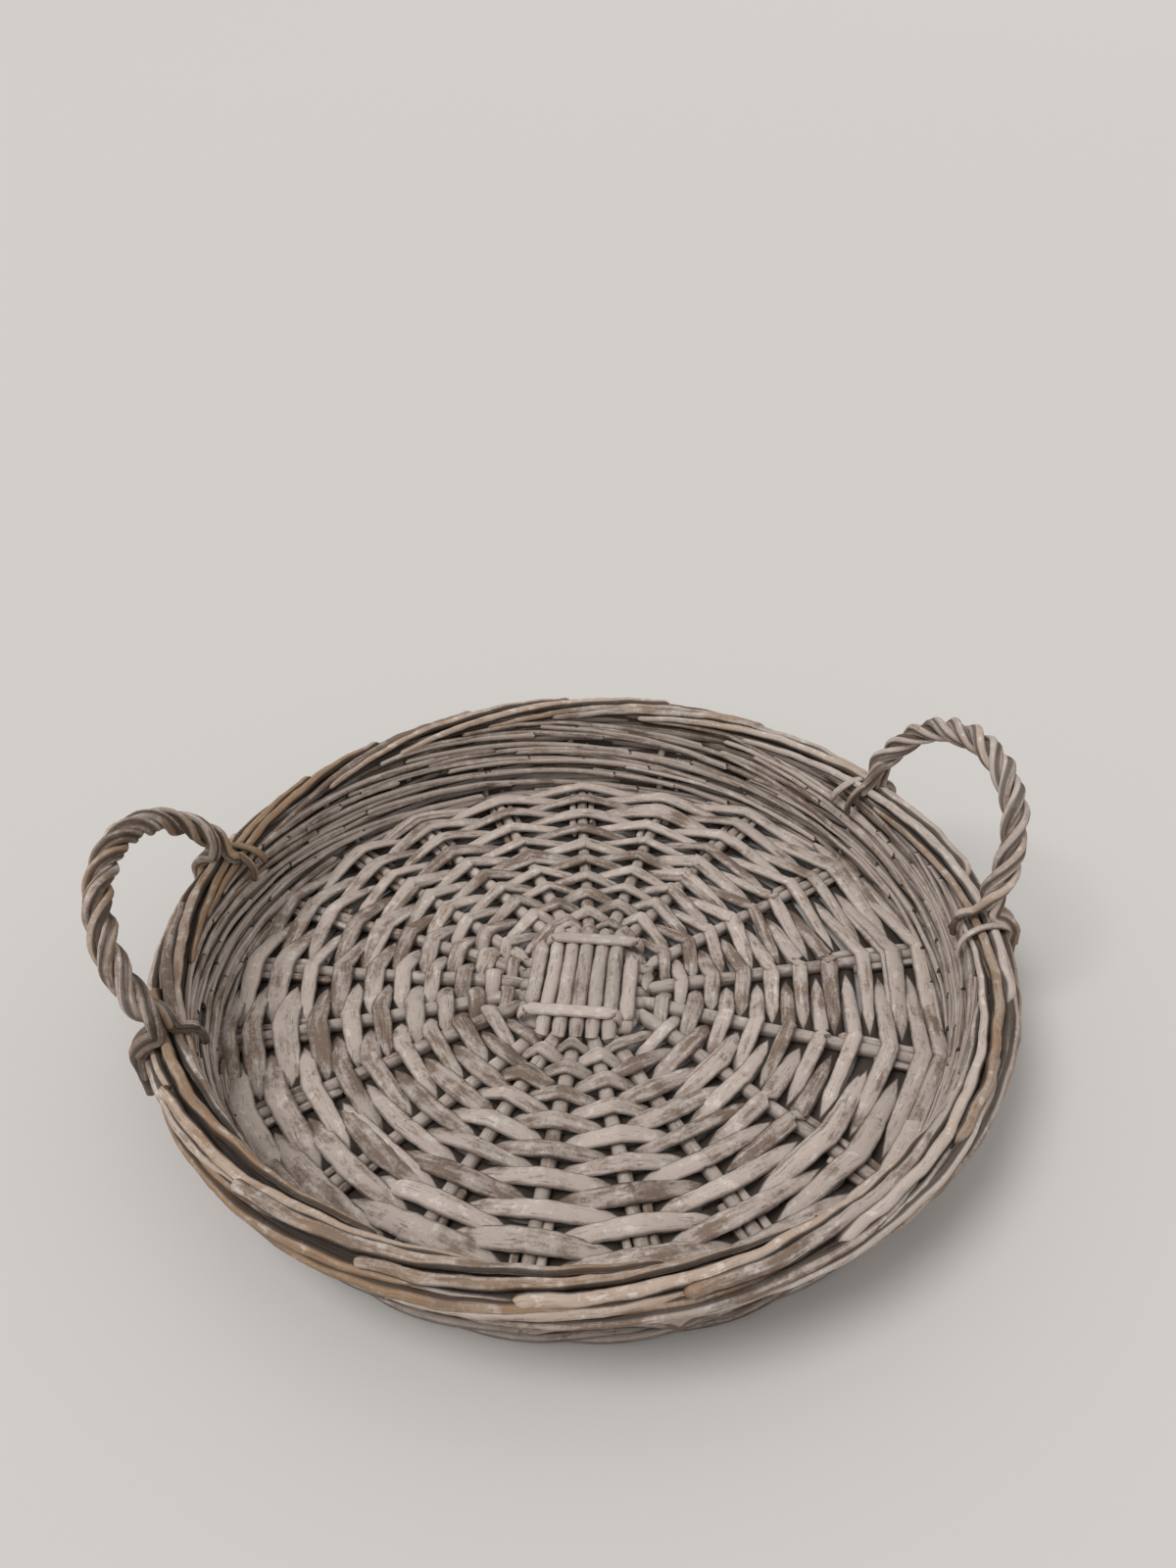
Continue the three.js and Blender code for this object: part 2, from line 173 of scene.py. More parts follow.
# Handles: bearings of the feet, which feet are wrapped, rise in the plane of the loop, its tilt from upright
RIGHT_HANDLE = {"feet": (4.5, 38.9), "wrapped": (True, True), "rise": 0.046, "tilt": 27.0}
LEFT_HANDLE = {"feet": (171.4, 209.2), "wrapped": (True, False), "rise": 0.043, "tilt": 36.0}
FOOT_LEVEL = 0.0508
LOOP_BULGE = 0.06
STRANDS = 3
LAY_RADIUS = 0.0029
WITHIES = 3
WITHY_LAY = 0.09
WITHY_RADIUS = 0.00135
HITCH_OUTSIDE = (75, 0)
HITCH_INSIDE = (105, 205)
HITCH_REACH = 0.0119
HITCH_RISE = 0.0094
TAIL_DROP = 0.018
WRAP_TURNS = (5, 200)
WRAP_SLANT = 4.2
WRAP_WIDTH = 0.0036
WRAP_DEPTH = 0.0022

# Stage: floor as rings of radius and height, soft lamp, light of the room
FLOOR_RINGS = ((0.6, 0.0), (5.0, 0.0), (8.0, 0.2), (11.0, 0.8), (13.0, 1.6))
FLOOR_SIDES = 48
FLOOR_ROUGHNESS = 0.9
LAMP_PLACE = (-0.45, -0.3, 1.0)
LAMP_STRENGTH = 1.4
LAMP_ANGLE = 28
ROOM_STRENGTH = 0.62

# Camera: lens for a 36 mm sensor on the picture's long side
CAMERA_PLACE = (0.0426, -0.3421, 0.3399)
CAMERA_YAW = 6.5
CAMERA_PITCH = 33.98
CAMERA_ROLL = -1.0
CAMERA_LENS = 25.9
CAMERA_SENSOR = 36.0

Spoke = namedtuple("Spoke", "bearing near along side exit level")
# A rod's last field darkens it: painted shade where it passes under others, and darker cut ends.
Rod = namedtuple("Rod", "points up width depth under mark tuck")
Finish = namedtuple("Finish", "name wash worn tint seam lean below")

# Finishes: shares of wash and of wear, spread of tint between rods, painted shade at rod sides and lower
# faces, how much the wash colour gains on the right (+X) and the worn colour on the left, and the share of
# painted shade that lower faces keep
STICK_FINISH = Finish("Whitewashed round willow", 0.84, 0.0, 0.12, 0.42, 0.0, 1.0)
BASE_FINISH = Finish("Whitewashed split willow", 0.64, 0.0, 0.12, 0.6, 0.0, 0.2)
WALL_FINISH = Finish("Whitewashed thin willow", 0.74, 0.35, 0.18, 0.6, 0.0, 1.0)
BORDER_FINISH = Finish("Worn border willow", 0.62, 1.0, 0.16, 0.9, 0.35, 1.0)
ROPE_FINISH = Finish("Worn handle willow", 0.6, 0.85, 0.14, 0.7, 0.3, 1.0)


def length_value(name, description, default):
    return bpy.props.FloatProperty(name=name, description=description, default=default, unit="LENGTH")


def colour_value(name, description, default):
    return bpy.props.FloatVectorProperty(name=name, description=description, default=default, subtype="COLOR")


class TraySizes(bpy.types.PropertyGroup):
    """Sizes of the willow that a user would change."""

    stick: length_value("Base stick", "Diameter of the base sticks", 0.0056)
    stick_spacing: length_value("Stick spacing", "Distance between sticks of the cross", 0.0066)
    strip_width: length_value("Strip width", "Width of the split base weavers", 0.0064)
    strip_depth: length_value("Strip depth", "Thickness of the split base weavers", 0.0027)
    rows: bpy.props.IntProperty(
        name="Base rows", description="Turns of the base weave before its last one", default=18, min=4
    )
    stake: length_value("Stake", "Diameter of the side stakes", 0.0038)
    wall_rod: length_value("Wall rod", "Height of a wall weaver", 0.0037)
    lining_rod: length_value("Lining rod", "Height of a rod on the inner side of the wall", 0.0034)
    border_rod: length_value("Border rod", "Diameter of the rods on the border", 0.0042)
    withy: length_value("Handle withy", "Diameter of one rod in a handle strand", 0.0031)
    rope_lay: length_value("Rope lay", "Length of one turn of the rope", 0.040)
    foot_rod: length_value("Foot rod", "Diameter of the rods under the bends", 0.0029)


class TrayColours(bpy.types.PropertyGroup):
    """Colours of the finish and of the floor."""

    wash: colour_value("Whitewash", "Old whitewash", (0.475, 0.398, 0.348))
    fleck: colour_value("Thick wash", "Flecks where the wash is thick", (0.66, 0.595, 0.54))
    willow: colour_value("Willow", "Bare greyed willow", (0.212, 0.15, 0.112))
    worn: colour_value("Worn willow", "Willow where hands wear it", (0.36, 0.225, 0.125))
    # Colour of the real cracks, also used for the painted shade at rod sides, on lower faces and under
    # crossings.
    crack_and_shade: colour_value("Cracks", "Dirt in cracks and under crossings", (0.035, 0.025, 0.019))
    floor: colour_value("Floor", "Plain floor", (0.63, 0.605, 0.58))


def sizes():
    return bpy.context.scene.tray_sizes


def colours():
    return bpy.context.scene.tray_colours


# Paths of the rods

def polar(radius, bearing, z):
    """Points at a radius and a bearing in degrees, which may be arrays."""
    turn = np.radians(bearing)
    flat = np.broadcast_arrays(radius * np.cos(turn), radius * np.sin(turn), z)
    return np.stack(flat, axis=-1)


def smooth_path(points, step):
    """A smooth curve through the points, with samples about a step apart."""
    points = np.asarray(points, float)
    framed = np.vstack([2 * points[0] - points[1], points, 2 * points[-1] - points[-2]])
    curve = []
    for a, b, c, d in zip(framed[:-3], framed[1:-2], framed[2:-1], framed[3:]):
        count = max(2, math.ceil(np.linalg.norm(c - b) / step))
        t = np.linspace(0, 1, count, endpoint=False)[:, None]
        cubic = 3 * b - a - 3 * c + d
        curve.append(0.5 * (2 * b + (c - a) * t + (2 * a - 5 * b + 4 * c - d) * t**2 + cubic * t**3))
    return np.vstack([*curve, points[-1]])


def run_lengths(points):
    """Length along a path at each of its points."""
    steps = np.linalg.norm(np.diff(points, axis=0), axis=1)
    return np.concatenate([[0], np.cumsum(steps)])


def tangents(points):
    along = np.gradient(points, axis=0)
    return along / np.linalg.norm(along, axis=1, keepdims=True)


def square_to(along, up):
    """Up made square to the path."""
    up = up - along * np.sum(up * along, axis=1, keepdims=True)
    return up / np.maximum(np.linalg.norm(up, axis=1, keepdims=True), 1e-9)


def carried_up(points):
    """A direction across the path that is carried along it without twist."""
    along = tangents(points)
    up = UPRIGHT if abs(along[0, 2]) < 0.9 else np.array([1.0, 0.0, 0.0])
    carried = []
    for step in along:
        up = up - step * np.dot(up, step)
        up = up / np.linalg.norm(up)
        carried.append(up)
    return np.array(carried)


def rounded_ends(points, radius):
    """Share of the full section at each point, for ends that are rounded over."""
    run = run_lengths(points)
    near = np.minimum(run, run[-1] - run)
    share = np.clip(near / radius, 0.02, 1)
    return np.sqrt(1 - (1 - share) ** 2)


def make_rod(chance, points, width, depth=None, up=None, roll=0.0, under=1.0, tuck=0.0):
    """A rod along a path. Up stands on its upper face, under flattens the lower one, and the last value
    darkens it: painted shade where it passes under others, and darker cut ends.
    """
    count = len(points)
    along = tangents(points)
    if up is None:
        up = np.tile(UPRIGHT, (count, 1))
    up = square_to(along, up)
    side = np.cross(along, up)
    turn = np.radians(np.broadcast_to(roll, count))[:, None]
    up = up * np.cos(turn) + side * np.sin(turn)
    depth = width if depth is None else depth
    values = (width, depth, under, tuck)
    width, depth, under, tuck = (np.array(np.broadcast_to(value, count), float) for value in values)
    return Rod(points, up, width, depth, under, chance.random(), tuck)


def wavy(chance, points, reach, length):
    """The path with slow sideways waves, as hand-cut willow has."""
    run = run_lengths(points)
    shift = np.zeros_like(points)
    for axis in range(3):
        phase = chance.uniform(0, 2 * math.pi, 2)
        slow = np.sin(2 * math.pi * run / length + phase[0])
        quick = np.sin(5.2 * math.pi * run / length + phase[1])
        shift[:, axis] = reach * (slow + 0.6 * quick)
    shift[:, 2] *= 0.4
    return points + shift


def cut_ends(run):
    """Darkness at a rod's two ends, where it is cut off."""
    return np.where(np.minimum(run, run[-1] - run) < CUT_LENGTH, CUT_DARKNESS, 0.0)


# Spokes: the stick ends that the weavers go round

def make_spoke(exit_place, bearing, level):
    exit_place = np.array([*exit_place, 0.0])
    along = polar(BASE_RADIUS, bearing, 0.0) - exit_place
    along = along / np.linalg.norm(along)
    near = exit_place - along * np.dot(exit_place, along)
    side = np.cross(UPRIGHT, along)
    return Spoke(bearing % 360, near, along, side, exit_place, level)


def stick_level(spoke, radius):
    """Height of a stick's middle, which levels off just outside the cross."""
    reach = (radius - np.linalg.norm(spoke.exit)) / STICK_LEVELLING
    return spoke.level + (WEAVE_LEVEL - spoke.level) * min(max(reach, 0.0), 1.0)


def on_spoke(spoke, radius, z, aside=0.0):
    reach = math.sqrt(max(radius**2 - np.dot(spoke.near, spoke.near), 0.0))
    place = spoke.near + spoke.along * reach + spoke.side * aside
    place[2] = z
    return place


def fan_bearing(fan, place, count):
    middle, step = fan
    return middle + (place - (count - 1) / 2) * step


def stick_lines():
    """Spokes of the upper and the lower sticks: two at each stick, or one where it is cut short."""
    spacing = sizes().stick_spacing
    half = (STICKS_EACH_WAY - 1) / 2
    upper = []
    lower = []
    right_place = STICKS_EACH_WAY - 2
    for i in range(STICKS_EACH_WAY):
        x = (i - half) * spacing
        far_bearing = fan_bearing(FAR_FAN, STICKS_EACH_WAY - 1 - i, STICKS_EACH_WAY)
        far = make_spoke((x, END_EXIT), far_bearing, UPPER_LEVEL)
        near = make_spoke((x, -END_EXIT), fan_bearing(NEAR_FAN, i, STICKS_EACH_WAY), UPPER_LEVEL)
        upper.append((near, far))
        y = (half - i) * spacing
        left = make_spoke((-SIDE_EXIT, y), fan_bearing(LEFT_FAN, i, STICKS_EACH_WAY), LOWER_LEVEL)
        right = None
        if i + 1 != CUT_STICK:
            right_bearing = fan_bearing(RIGHT_FAN, right_place, STICKS_EACH_WAY - 1)
            right = make_spoke((SIDE_EXIT, y), right_bearing, LOWER_LEVEL)
            right_place -= 1
        lower.append((left, right))
    return upper, lower


def all_spokes():
    upper, lower = stick_lines()
    spokes = [spoke for pair in upper + lower for spoke in pair if spoke]
    return sorted(spokes, key=lambda spoke: spoke.bearing)


def stake_foot(spoke, start, aside):
    """A stake beside a stick, from its start in the base weave to the bend at the foot of the wall."""
    return [
        on_spoke(spoke, start, WEAVE_LEVEL, aside),
        on_spoke(spoke, WALL_FOOT - BEND_START, WEAVE_LEVEL, aside),
        on_spoke(spoke, WALL_FOOT - BEND_MIDDLE, WEAVE_LEVEL + BEND_LIFT, aside),
        on_spoke(spoke, WALL_FOOT, WALL_LOW, aside),
    ]


def rim_shift(bearing):
    """How much further out and up the hand-made rim stands on its far side."""
    share = np.clip(np.sin(np.radians(bearing)), 0, 1) ** 2
    return FAR_REACH * share, FAR_RISE * share


def on_wall(bearing, z, out=0.0):
    """A point of the leaning wall, which is taller on its far side."""
    reach, rise = rim_shift(bearing)
    share = (z - WALL_LOW) / (WALL_TOP - WALL_LOW)
    radius = WALL_FOOT + np.maximum(z - WALL_LOW, -0.001) * WALL_LEAN + reach * share + out
    return polar(radius, bearing, z + rise * share)


def roll_middle(bearing):
    """The middle line of the border."""
    reach, rise = rim_shift(bearing)
    return polar(BORDER_RADIUS + reach, bearing, BORDER_LEVEL + rise)


def bearings_of(points):
    return np.degrees(np.arctan2(points[:, 1], points[:, 0]))


def stake_bearings():
    aside = sizes().stick / 2 + sizes().stake / 2
    places = [on_spoke(spoke, WALL_FOOT, 0.0, aside) for spoke in all_spokes()]
    return [math.degrees(math.atan2(place[1], place[0])) % 360 for place in places]


def bearing_at(place):
    """Bearing of a place counted in stakes, where whole numbers are stakes."""
    stands = stake_bearings()
    count = len(stands)
    unrolled = np.array([*stands, stands[0] + 360])
    turns = np.floor(np.asarray(place) / count)
    within = np.asarray(place) - turns * count
    return np.interp(within, np.arange(count + 1), unrolled) + 360 * turns


# Node trees and materials

class Tree:
    """Adds nodes to a tree and links them."""

    def __init__(self, tree):
        self.tree = tree

    def add(self, kind, inputs=None, **settings):
        node = self.tree.nodes.new(kind)
        for name, value in settings.items():
            setattr(node, name, value)
        for name, value in (inputs or {}).items():
            if isinstance(value, bpy.types.NodeSocket):
                self.tree.links.new(value, node.inputs[name])
            else:
                node.inputs[name].default_value = value
        return node

    def out(self, kind, inputs=None, **settings):
        """Adds a node and gives its first output."""
        return self.add(kind, inputs, **settings).outputs[0]

    def math(self, operation, first, second=0.0):
        return self.out("ShaderNodeMath", {0: first, 1: second}, operation=operation)

    def vector(self, operation, first, second=(0.0, 0.0, 0.0)):
        node = self.add("ShaderNodeVectorMath", {0: first, 1: second}, operation=operation)
        return node.outputs["Value" if operation == "DOT_PRODUCT" else "Vector"]

    def scale(self, vector, factor):
        node = self.add("ShaderNodeVectorMath", {0: vector, "Scale": factor}, operation="SCALE")
        return node.outputs["Vector"]


def rod_tree():
    """Geometry nodes that sweep polylines into rods with their own width, depth and upper side."""
    found = bpy.data.node_groups.get("Willow rods")
    if found:
        return found
    group = bpy.data.node_groups.new("Willow rods", "GeometryNodeTree")
    kinds = {"Geometry": "Geometry", "Sides": "Int", "Material": "Material"}
    for name in ("Geometry", "Sides", "Knob share", "Knob scale", "Material"):
        kind = "NodeSocket" + kinds.get(name, "Float")
        group.interface.new_socket(name, in_out="INPUT", socket_type=kind)
    group.interface.new_socket("Geometry", in_out="OUTPUT", socket_type="NodeSocketGeometry")
    tree = Tree(group)
    given = tree.add("NodeGroupInput").outputs
    unit = 0.001

    def read(name, kind="FLOAT"):
        node = tree.add("GeometryNodeInputNamedAttribute", {"Name": name}, data_type=kind)
        return node.outputs["Attribute"]

    def keep(geometry, name, value, kind="FLOAT_VECTOR"):
        inputs = {"Geometry": geometry, "Name": name, "Value": value}
        node = tree.add("GeometryNodeStoreNamedAttribute", inputs, data_type=kind, domain="POINT")
        return node.outputs[0]

    position = tree.out("GeometryNodeInputPosition")
    tangent = tree.out("GeometryNodeInputTangent")
    up = read("up", "FLOAT_VECTOR")
    curve = tree.out("GeometryNodeMeshToCurve", {"Mesh": given["Geometry"]})
    turned = {"Curve": curve, "Normal": up}
    curve = tree.out("GeometryNodeSetCurveNormal", turned, mode="FREE")
    curve = keep(curve, "centre", position)
    curve = keep(curve, "grain", tangent)
    profile = tree.add("GeometryNodeCurvePrimitiveCircle", {"Resolution": given["Sides"], "Radius": unit})
    swept = {"Curve": curve, "Profile Curve": profile.outputs["Curve"], "Fill Caps": True}
    tube = tree.out("GeometryNodeCurveToMesh", swept)

    centre = read("centre", "FLOAT_VECTOR")
    side = tree.vector("CROSS_PRODUCT", read("grain", "FLOAT_VECTOR"), up)
    offset = tree.scale(tree.vector("SUBTRACT", position, centre), 1 / unit)
    across = tree.vector("DOT_PRODUCT", offset, side)
    rise = tree.vector("DOT_PRODUCT", offset, up)
    local = tree.out("ShaderNodeCombineXYZ", {"X": across, "Y": rise})
    tube = keep(tube, "local", local)

    below = tree.math("MULTIPLY", tree.math("MINIMUM", rise), read("under"))
    domed = tree.math("ADD", tree.math("MAXIMUM", rise), below)
    apart = tree.scale((3.1, 7.7, 5.3), read("rod"))
    where = tree.vector("ADD", position, apart)
    noise = tree.add("ShaderNodeTexNoise", {"Vector": where, "Scale": given["Knob scale"], "Detail": 2.0})
    lump = tree.math("MULTIPLY", tree.math("SUBTRACT", noise.outputs[0], 0.5), given["Knob share"])
    swell = tree.math("ADD", lump, 0.5)
    wide = tree.math("MULTIPLY", tree.math("MULTIPLY", across, read("width")), swell)
    deep = tree.math("MULTIPLY", tree.math("MULTIPLY", domed, read("depth")), swell)
    spread = tree.vector("ADD", tree.scale(side, wide), tree.scale(up, deep))
    target = tree.vector("MAXIMUM", tree.vector("ADD", centre, spread), LOWEST_POINT)
    placed = {"Geometry": tube, "Position": target}
    rods = tree.out("GeometryNodeSetPosition", placed)
    for name in ("centre", "grain", "up", "width", "depth", "under"):
        rods = tree.out("GeometryNodeRemoveAttribute", {"Geometry": rods, "Name": name})
    rods = tree.out("GeometryNodeSetShadeSmooth", {"Geometry": rods})
    rods = tree.out("GeometryNodeRealizeInstances", {"Geometry": rods})
    rods = tree.out("GeometryNodeSetMaterial", {"Geometry": rods, "Material": given["Material"]})
    tree.add("NodeGroupOutput", {"Geometry": rods})
    return group


def set_inputs(modifier, values):
    """Sets a modifier's inputs by their sockets' identifiers."""
    for item in modifier.node_group.interface.items_tree:
        if item.in_out == "INPUT" and item.name in values:
            modifier[item.identifier] = values[item.name]


def willow(finish):
    """Whitewashed willow: patches of wash, worn zones, streaks along the rod, dark cracks, and painted shade
    at its sides, on its lower faces and where it passes under others.
    """
    found = bpy.data.materials.get(finish.name)
    if found:
        return found
    material = bpy.data.materials.new(finish.name)
    material.use_nodes = True
    material.node_tree.nodes.clear()
    tree = Tree(material.node_tree)

    def read(label):
        return tree.add("ShaderNodeAttribute", attribute_name=label, attribute_type="GEOMETRY").outputs

    def noise(vector, scale, detail):
        inputs = {"Vector": vector, "Scale": scale, "Detail": detail, "Roughness": 0.6}
        return tree.out("ShaderNodeTexNoise", inputs)

    def ramp(value, low, high):
        inputs = {"Value": value, "From Min": low, "From Max": high}
        return tree.out("ShaderNodeMapRange", inputs, interpolation_type="SMOOTHSTEP")

    def blend(factor, first, second, kind="MIX"):
        node = tree.add("ShaderNodeMix", data_type="RGBA", blend_type=kind)
        for socket, value in zip((node.inputs[0], node.inputs[6], node.inputs[7]), (factor, first, second)):
            if isinstance(value, bpy.types.NodeSocket):
                material.node_tree.links.new(value, socket)
            else:
                socket.default_value = value
        return node.outputs[2]

    def times(first, second):
        return tree.math("MULTIPLY", first, second)

    def plus(first, second):
        return tree.math("ADD", first, second)

    along = read("along")["Fac"]
    rod = read("rod")["Fac"]
    tuck = read("tuck")["Fac"]
    place = tree.add("ShaderNodeTexCoord").outputs["Object"]
    local = tree.add("ShaderNodeSeparateXYZ", {"Vector": read("local")["Vector"]}).outputs
    apart = times(rod, 61.0)

    def fibres(round_scale, long_scale):
        lengthwise = plus(times(along, long_scale), apart)
        inputs = {"X": times(local["X"], round_scale), "Y": times(local["Y"], round_scale), "Z": lengthwise}
        return tree.out("ShaderNodeCombineXYZ", inputs)

    grain = noise(fibres(1.5, 70.0), 1.0, 5.0)
    fine = noise(fibres(6.0, 150.0), 1.0, 3.0)
    patch = noise(place, 70.0, 4.0)
    zone = noise(place, 18.0, 2.0)
    speck = noise(place, 800.0, 2.0)
    crust = noise(place, 230.0, 4.0)
    odd = tree.math("SUBTRACT", rod, 0.5)

    mixed = plus(times(grain, 0.5), times(patch, 0.5))
    mixed = plus(mixed, times(tree.math("SUBTRACT", speck, 0.5), 0.16))
    mixed = plus(mixed, times(odd, finish.tint))
    axes = tree.add("ShaderNodeSeparateXYZ", {"Vector": place}).outputs
    # The colour shifts towards wash on the right (+X) and towards worn willow on the left.
    lean = times(axes["X"], finish.lean)
    mixed = plus(mixed, lean)
    middle = 0.5 + (0.5 - finish.wash) * 0.35
    washed = ramp(mixed, middle - 0.07, middle + 0.09)
    colour = blend(washed, (*colours().willow, 1.0), (*colours().wash, 1.0))
    handled = tree.math("SUBTRACT", tree.math("FRACT", times(rod, 7.0)), 0.5)
    handled = tree.math("SUBTRACT", times(handled, 0.4), lean)
    worn = ramp(plus(zone, handled), 0.44, 0.64)
    worn = times(worn, times(ramp(axes["Z"], 0.012, 0.032), finish.worn))
    worn = times(worn, tree.math("SUBTRACT", 1.0, times(washed, 0.5)))
    worn = times(worn, plus(times(ramp(grain, 0.38, 0.6), 0.5), 0.5))
    colour = blend(worn, colour, (*colours().worn, 1.0))
    thick = ramp(plus(crust, times(tree.math("SUBTRACT", grain, 0.5), 0.5)), 0.56, 0.68)
    thick = times(thick, plus(times(washed, 0.4), 0.2))
    colour = blend(thick, colour, (*colours().fleck, 1.0))
    shade = plus(times(rod, 0.28), 0.86)
    tinted = tree.out("ShaderNodeCombineColor", {0: shade, 1: shade, 2: shade})
    colour = blend(1.0, colour, tinted, "MULTIPLY")
    cracked = times(ramp(fine, 0.42, 0.28), 0.6)
    aside = tree.math("ABSOLUTE", local["X"])
    # Painted shade: the rod's sides are darkened where they meet their neighbours.
    edge = times(ramp(aside, 0.7, 1.0), finish.seam)
    # Painted shade: the rod's lower faces are darkened.
    below = times(ramp(local["Y"], -0.1, -0.8), finish.seam * finish.below)
    # Painted shade where the rod dips under others and on the rods that are dark all over; the same value
    # darkens cut ends. Lower faces keep only a share of it.
    painted_shade_and_end_mask = times(ramp(plus(aside, times(tuck, 1.4)), 1.05, 1.3), 0.94)
    facing_up = ramp(local["Y"], -0.5, -0.1)
    painted_shade_and_end_mask = times(painted_shade_and_end_mask, plus(times(facing_up, 1 - finish.below), finish.below))
    # Real cracks, together with the painted shade at rod sides, on lower faces and under crossings, all in
    # the crack colour.
    cracks_and_painted_shade = tree.math("MAXIMUM", cracked, edge)
    cracks_and_painted_shade = tree.math("MAXIMUM", cracks_and_painted_shade, tree.math("MAXIMUM", below, painted_shade_and_end_mask))
    colour = blend(cracks_and_painted_shade, colour, (*colours().crack_and_shade, 1.0))
    relief = plus(times(grain, 0.6), times(fine, 0.4))
    bump = tree.out("ShaderNodeBump", {"Strength": 0.6, "Distance": 0.0006, "Height": relief})
    rough = plus(times(washed, 0.2), 0.65)
    surface = {"Base Color": colour, "Roughness": rough, "Normal": bump, "Specular IOR Level": 0.3}
    shader = tree.out("ShaderNodeBsdfPrincipled", surface)
    tree.add("ShaderNodeOutputMaterial", {"Surface": shader})
    return material


def add_rods(name, rods, finish, nodes, sides=12, knob_share=0.16):
    """One piece of many rods, swept by the node tree, standing for the named solids if there are any."""
    counts = [len(rod.points) for rod in rods]
    first = np.concatenate([[0], np.cumsum(counts)])
    spans = zip(first, first[1:])
    edges = np.vstack([np.stack([np.arange(a, b - 1), np.arange(a + 1, b)], 1) for a, b in spans])
    mesh = bpy.data.meshes.new(name)
    mesh.from_pydata(np.vstack([rod.points for rod in rods]).tolist(), edges.tolist(), [])
    labels = ("width", "depth", "under", "tuck")
    values = {label: np.concatenate([getattr(rod, label) for rod in rods]) for label in labels}
    values["along"] = np.concatenate([run_lengths(rod.points) for rod in rods])
    values["rod"] = np.repeat([rod.mark for rod in rods], counts)
    for label, numbers in values.items():
        mesh.attributes.new(label, "FLOAT", "POINT").data.foreach_set("value", numbers.astype(np.float32))
    up = np.vstack([rod.up for rod in rods]).astype(np.float32)
    mesh.attributes.new("up", "FLOAT_VECTOR", "POINT").data.foreach_set("vector", up.ravel())
    piece = bpy.data.objects.new(name, mesh)
    bpy.context.scene.collection.objects.link(piece)
    modifier = piece.modifiers.new("Willow rods", "NODES")
    modifier.node_group = rod_tree()
    knobs = {"Knob share": knob_share, "Knob scale": KNOB_SCALE}
    set_inputs(modifier, {"Sides": sides, "Material": willow(finish), **knobs})
    graph = bpy.context.evaluated_depsgraph_get()
    swept = bpy.data.meshes.new_from_object(piece.evaluated_get(graph), depsgraph=graph)
    piece.modifiers.clear()
    piece.data = swept
    bpy.data.meshes.remove(mesh)
    swept.name = name
    swept.set_sharp_from_angle(angle=math.radians(60))
    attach(piece, BODY)
    if nodes:
        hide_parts(*nodes)


def nodes_named(start):
    return [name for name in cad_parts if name.startswith(start)]


# Pieces

class TRAY_OT_base_sticks(bpy.types.Operator):
    """The cross of round sticks and their ends that fan out to the base edge"""

    bl_idname = "tray.base_sticks"
    bl_label = "Base sticks"

    def execute(self, context):
        chance = np.random.default_rng(SEED)
        upper, lower = stick_lines()
        rods = [self.stick(chance, first, second) for first, second in upper + lower]
        add_rods("base_sticks", rods, STICK_FINISH, nodes_named("base_stick"), sides=14)
        return {"FINISHED"}

    def stick(self, chance, first, second):
        """One stick from edge to edge, or to just past the cross where it is cut short."""
        points = self.half_line(first)
        if second:
            points += self.half_line(second)[::-1]
        else:
            points.append(points[-1] * np.array([-1.0, 1.0, 1.0]))
        path = wavy(chance, smooth_path(points, 0.003), 0.0002, 0.09)
        reach = np.linalg.norm(path[:, :2], axis=1) / BASE_RADIUS
        width = sizes().stick * (STICK_BUTT - STICK_TAPER * reach) * chance.uniform(0.97, 1.03)
        return make_rod(chance, path, width)

    def half_line(self, spoke):
        level_from = np.linalg.norm(spoke.exit) + STICK_LEVELLING
        radii = (BASE_RADIUS, BASE_RADIUS * 0.6, level_from)
        leaving = spoke.exit.copy()
        leaving[2] = spoke.level
        return [*(on_spoke(spoke, radius, WEAVE_LEVEL) for radius in radii), leaving]


